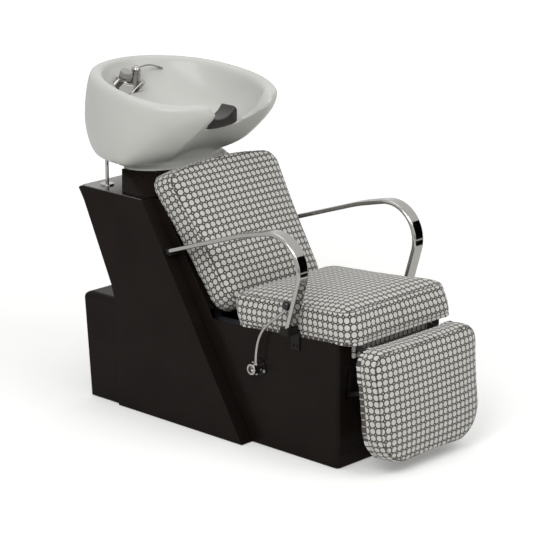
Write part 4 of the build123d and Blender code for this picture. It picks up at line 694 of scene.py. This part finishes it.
# The arms are flat oval steel tube bent and chromed; the hand lever's hub and rod, the stays,
# the waste and the taps are chromed too. Chrome mirrors cleanly with the faintest haze.
smear_mm = 40.0
chrome, tree = material("chromium_plate")
smear = speckle(tree, smear_mm, 4.0)
surface(tree, Base_Color=linear("#A6A4A1"), Metallic=1.0,
        Roughness=spread(tree, smear.outputs[0], 0.04, 0.10))
for name in ("armrest_left", "armrest_right", "lever_hub", "lever_rod", "waste_strainer",
             "stay_tubes", "stay_rosettes", "stay_rods", "tap_plate", "mixer_body",
             "mixer_cap", "mixer_lever", "shower_holder"):
    finish_node(name, chrome)

# White nylon bushes carry the lever's shaft. They are turned from rod and pressed in, and the
# lathe leaves them satin, with faint fine marks.
turning_marks_mm = 0.5
nylon, tree = material("turned_nylon")
grain = speckle(tree, turning_marks_mm)
surface(tree, Base_Color=linear("#DCDBD4"), Roughness=spread(tree, grain.outputs[0], 0.4, 0.5),
        IOR=1.53)
finish_node("shaft_bushes", nylon)

# The lever ends in a ball of black phenolic, pressed round the rod's thread and polished, so
# it mirrors the room in small sharp highlights.
swirl_mm = 6.0
ball_gloss, tree = material("black_phenolic")
swirl = speckle(tree, swirl_mm, 2.0)
surface(tree, Base_Color=linear("#090807"), Roughness=spread(tree, swirl.outputs[0], 0.06, 0.1),
        IOR=1.5)
finish_node("lever_knob", ball_gloss)

# The basin is slip cast vitreous china, fired with a thick white glaze that rounds every edge
# and pools a little in the hollows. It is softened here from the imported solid, most of all on
# the rim, and least round the flat land that the taps stand on.
glaze_patch_mm = 260.0
glaze_ripple_mm = 30.0
glaze_relief_mm = 0.08
glaze, tree = material("white_vitreous_glaze")
body_shade = speckle(tree, glaze_patch_mm, 2.0)
ripple = speckle(tree, glaze_ripple_mm, 1.0)
surface(tree, Base_Color=blend_colour(tree, spread(tree, body_shade.outputs[0], 0, 1),
                                      "#B4B4B0", "#BABAB6"),
        Roughness=0.34, IOR=1.5, Specular_IOR_Level=0.35, Coat_Weight=0.12, Coat_Roughness=0.15,
        Normal=relief(tree, ripple.outputs[0], glaze_relief_mm))
basin_mesh_size = 0.004
basin_relax_times = 22
rim_relax_times = 70
rim_fade_low = 0.90
rim_fade_height = 0.07
rim_fullness = 0.004
tap_land_reach = 0.07
china = copy_of("basin", "china_basin", glaze)
even_mesh(china, basin_mesh_size)
relax(china, basin_relax_times)
skin = corners_of(china)
tap_land_middle = np.array(sum(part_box("tap_plate"), Vector()) / 2)
from_taps = np.linalg.norm(skin - tap_land_middle, axis=1)
rim_share = np.clip((skin[:, 2] - rim_fade_low) / rim_fade_height, 0, 1)
rim_share = rim_share * np.clip((from_taps - tap_land_reach) / rim_fade_height, 0, 1)
rim_share = np.round(rim_share, 1)
swell(china, rim_fullness * rim_share)
relax(china, rim_relax_times, rim_share)
china.data.shade_smooth()
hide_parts("basin")
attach(china, "basin_unit")

# A black rubber saddle keeps the neck off the china. It is moulded, rounded all over, hooked
# over the rim in the notch, and worn a little paler in patches.
saddle_grain_mm = 1.2
saddle_wear_mm = 30.0
saddle_relief_mm = 0.05
saddle_mesh_size = 0.002
saddle_relax_times = 30
rubber, tree = material("moulded_rubber")
grain = speckle(tree, saddle_grain_mm)
wear = speckle(tree, saddle_wear_mm)
surface(tree, Base_Color=blend_colour(tree, spread(tree, wear.outputs[0], 0, 1),
                                      "#1B1816", "#2A2624"),
        Roughness=spread(tree, grain.outputs[0], 0.32, 0.45), IOR=1.52,
        Normal=relief(tree, grain.outputs[0], saddle_relief_mm))
saddle = copy_of("neck_rest", "rubber_saddle", rubber)
even_mesh(saddle, saddle_mesh_size)
relax(saddle, saddle_relax_times)
saddle.data.shade_smooth()
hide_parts("neck_rest")
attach(saddle, "basin_unit")

# The hand shower is moulded ABS in a satin grey. It stands in its chromed holder on the tap
# plate and lifts out.
shower_grain_mm = 3.0
shower_plastic, tree = material("grey_abs")
grain = speckle(tree, shower_grain_mm)
surface(tree, Base_Color=linear("#8A8884"), Roughness=spread(tree, grain.outputs[0], 0.2, 0.28),
        IOR=1.53)
finish_node("hand_shower", shower_plastic)
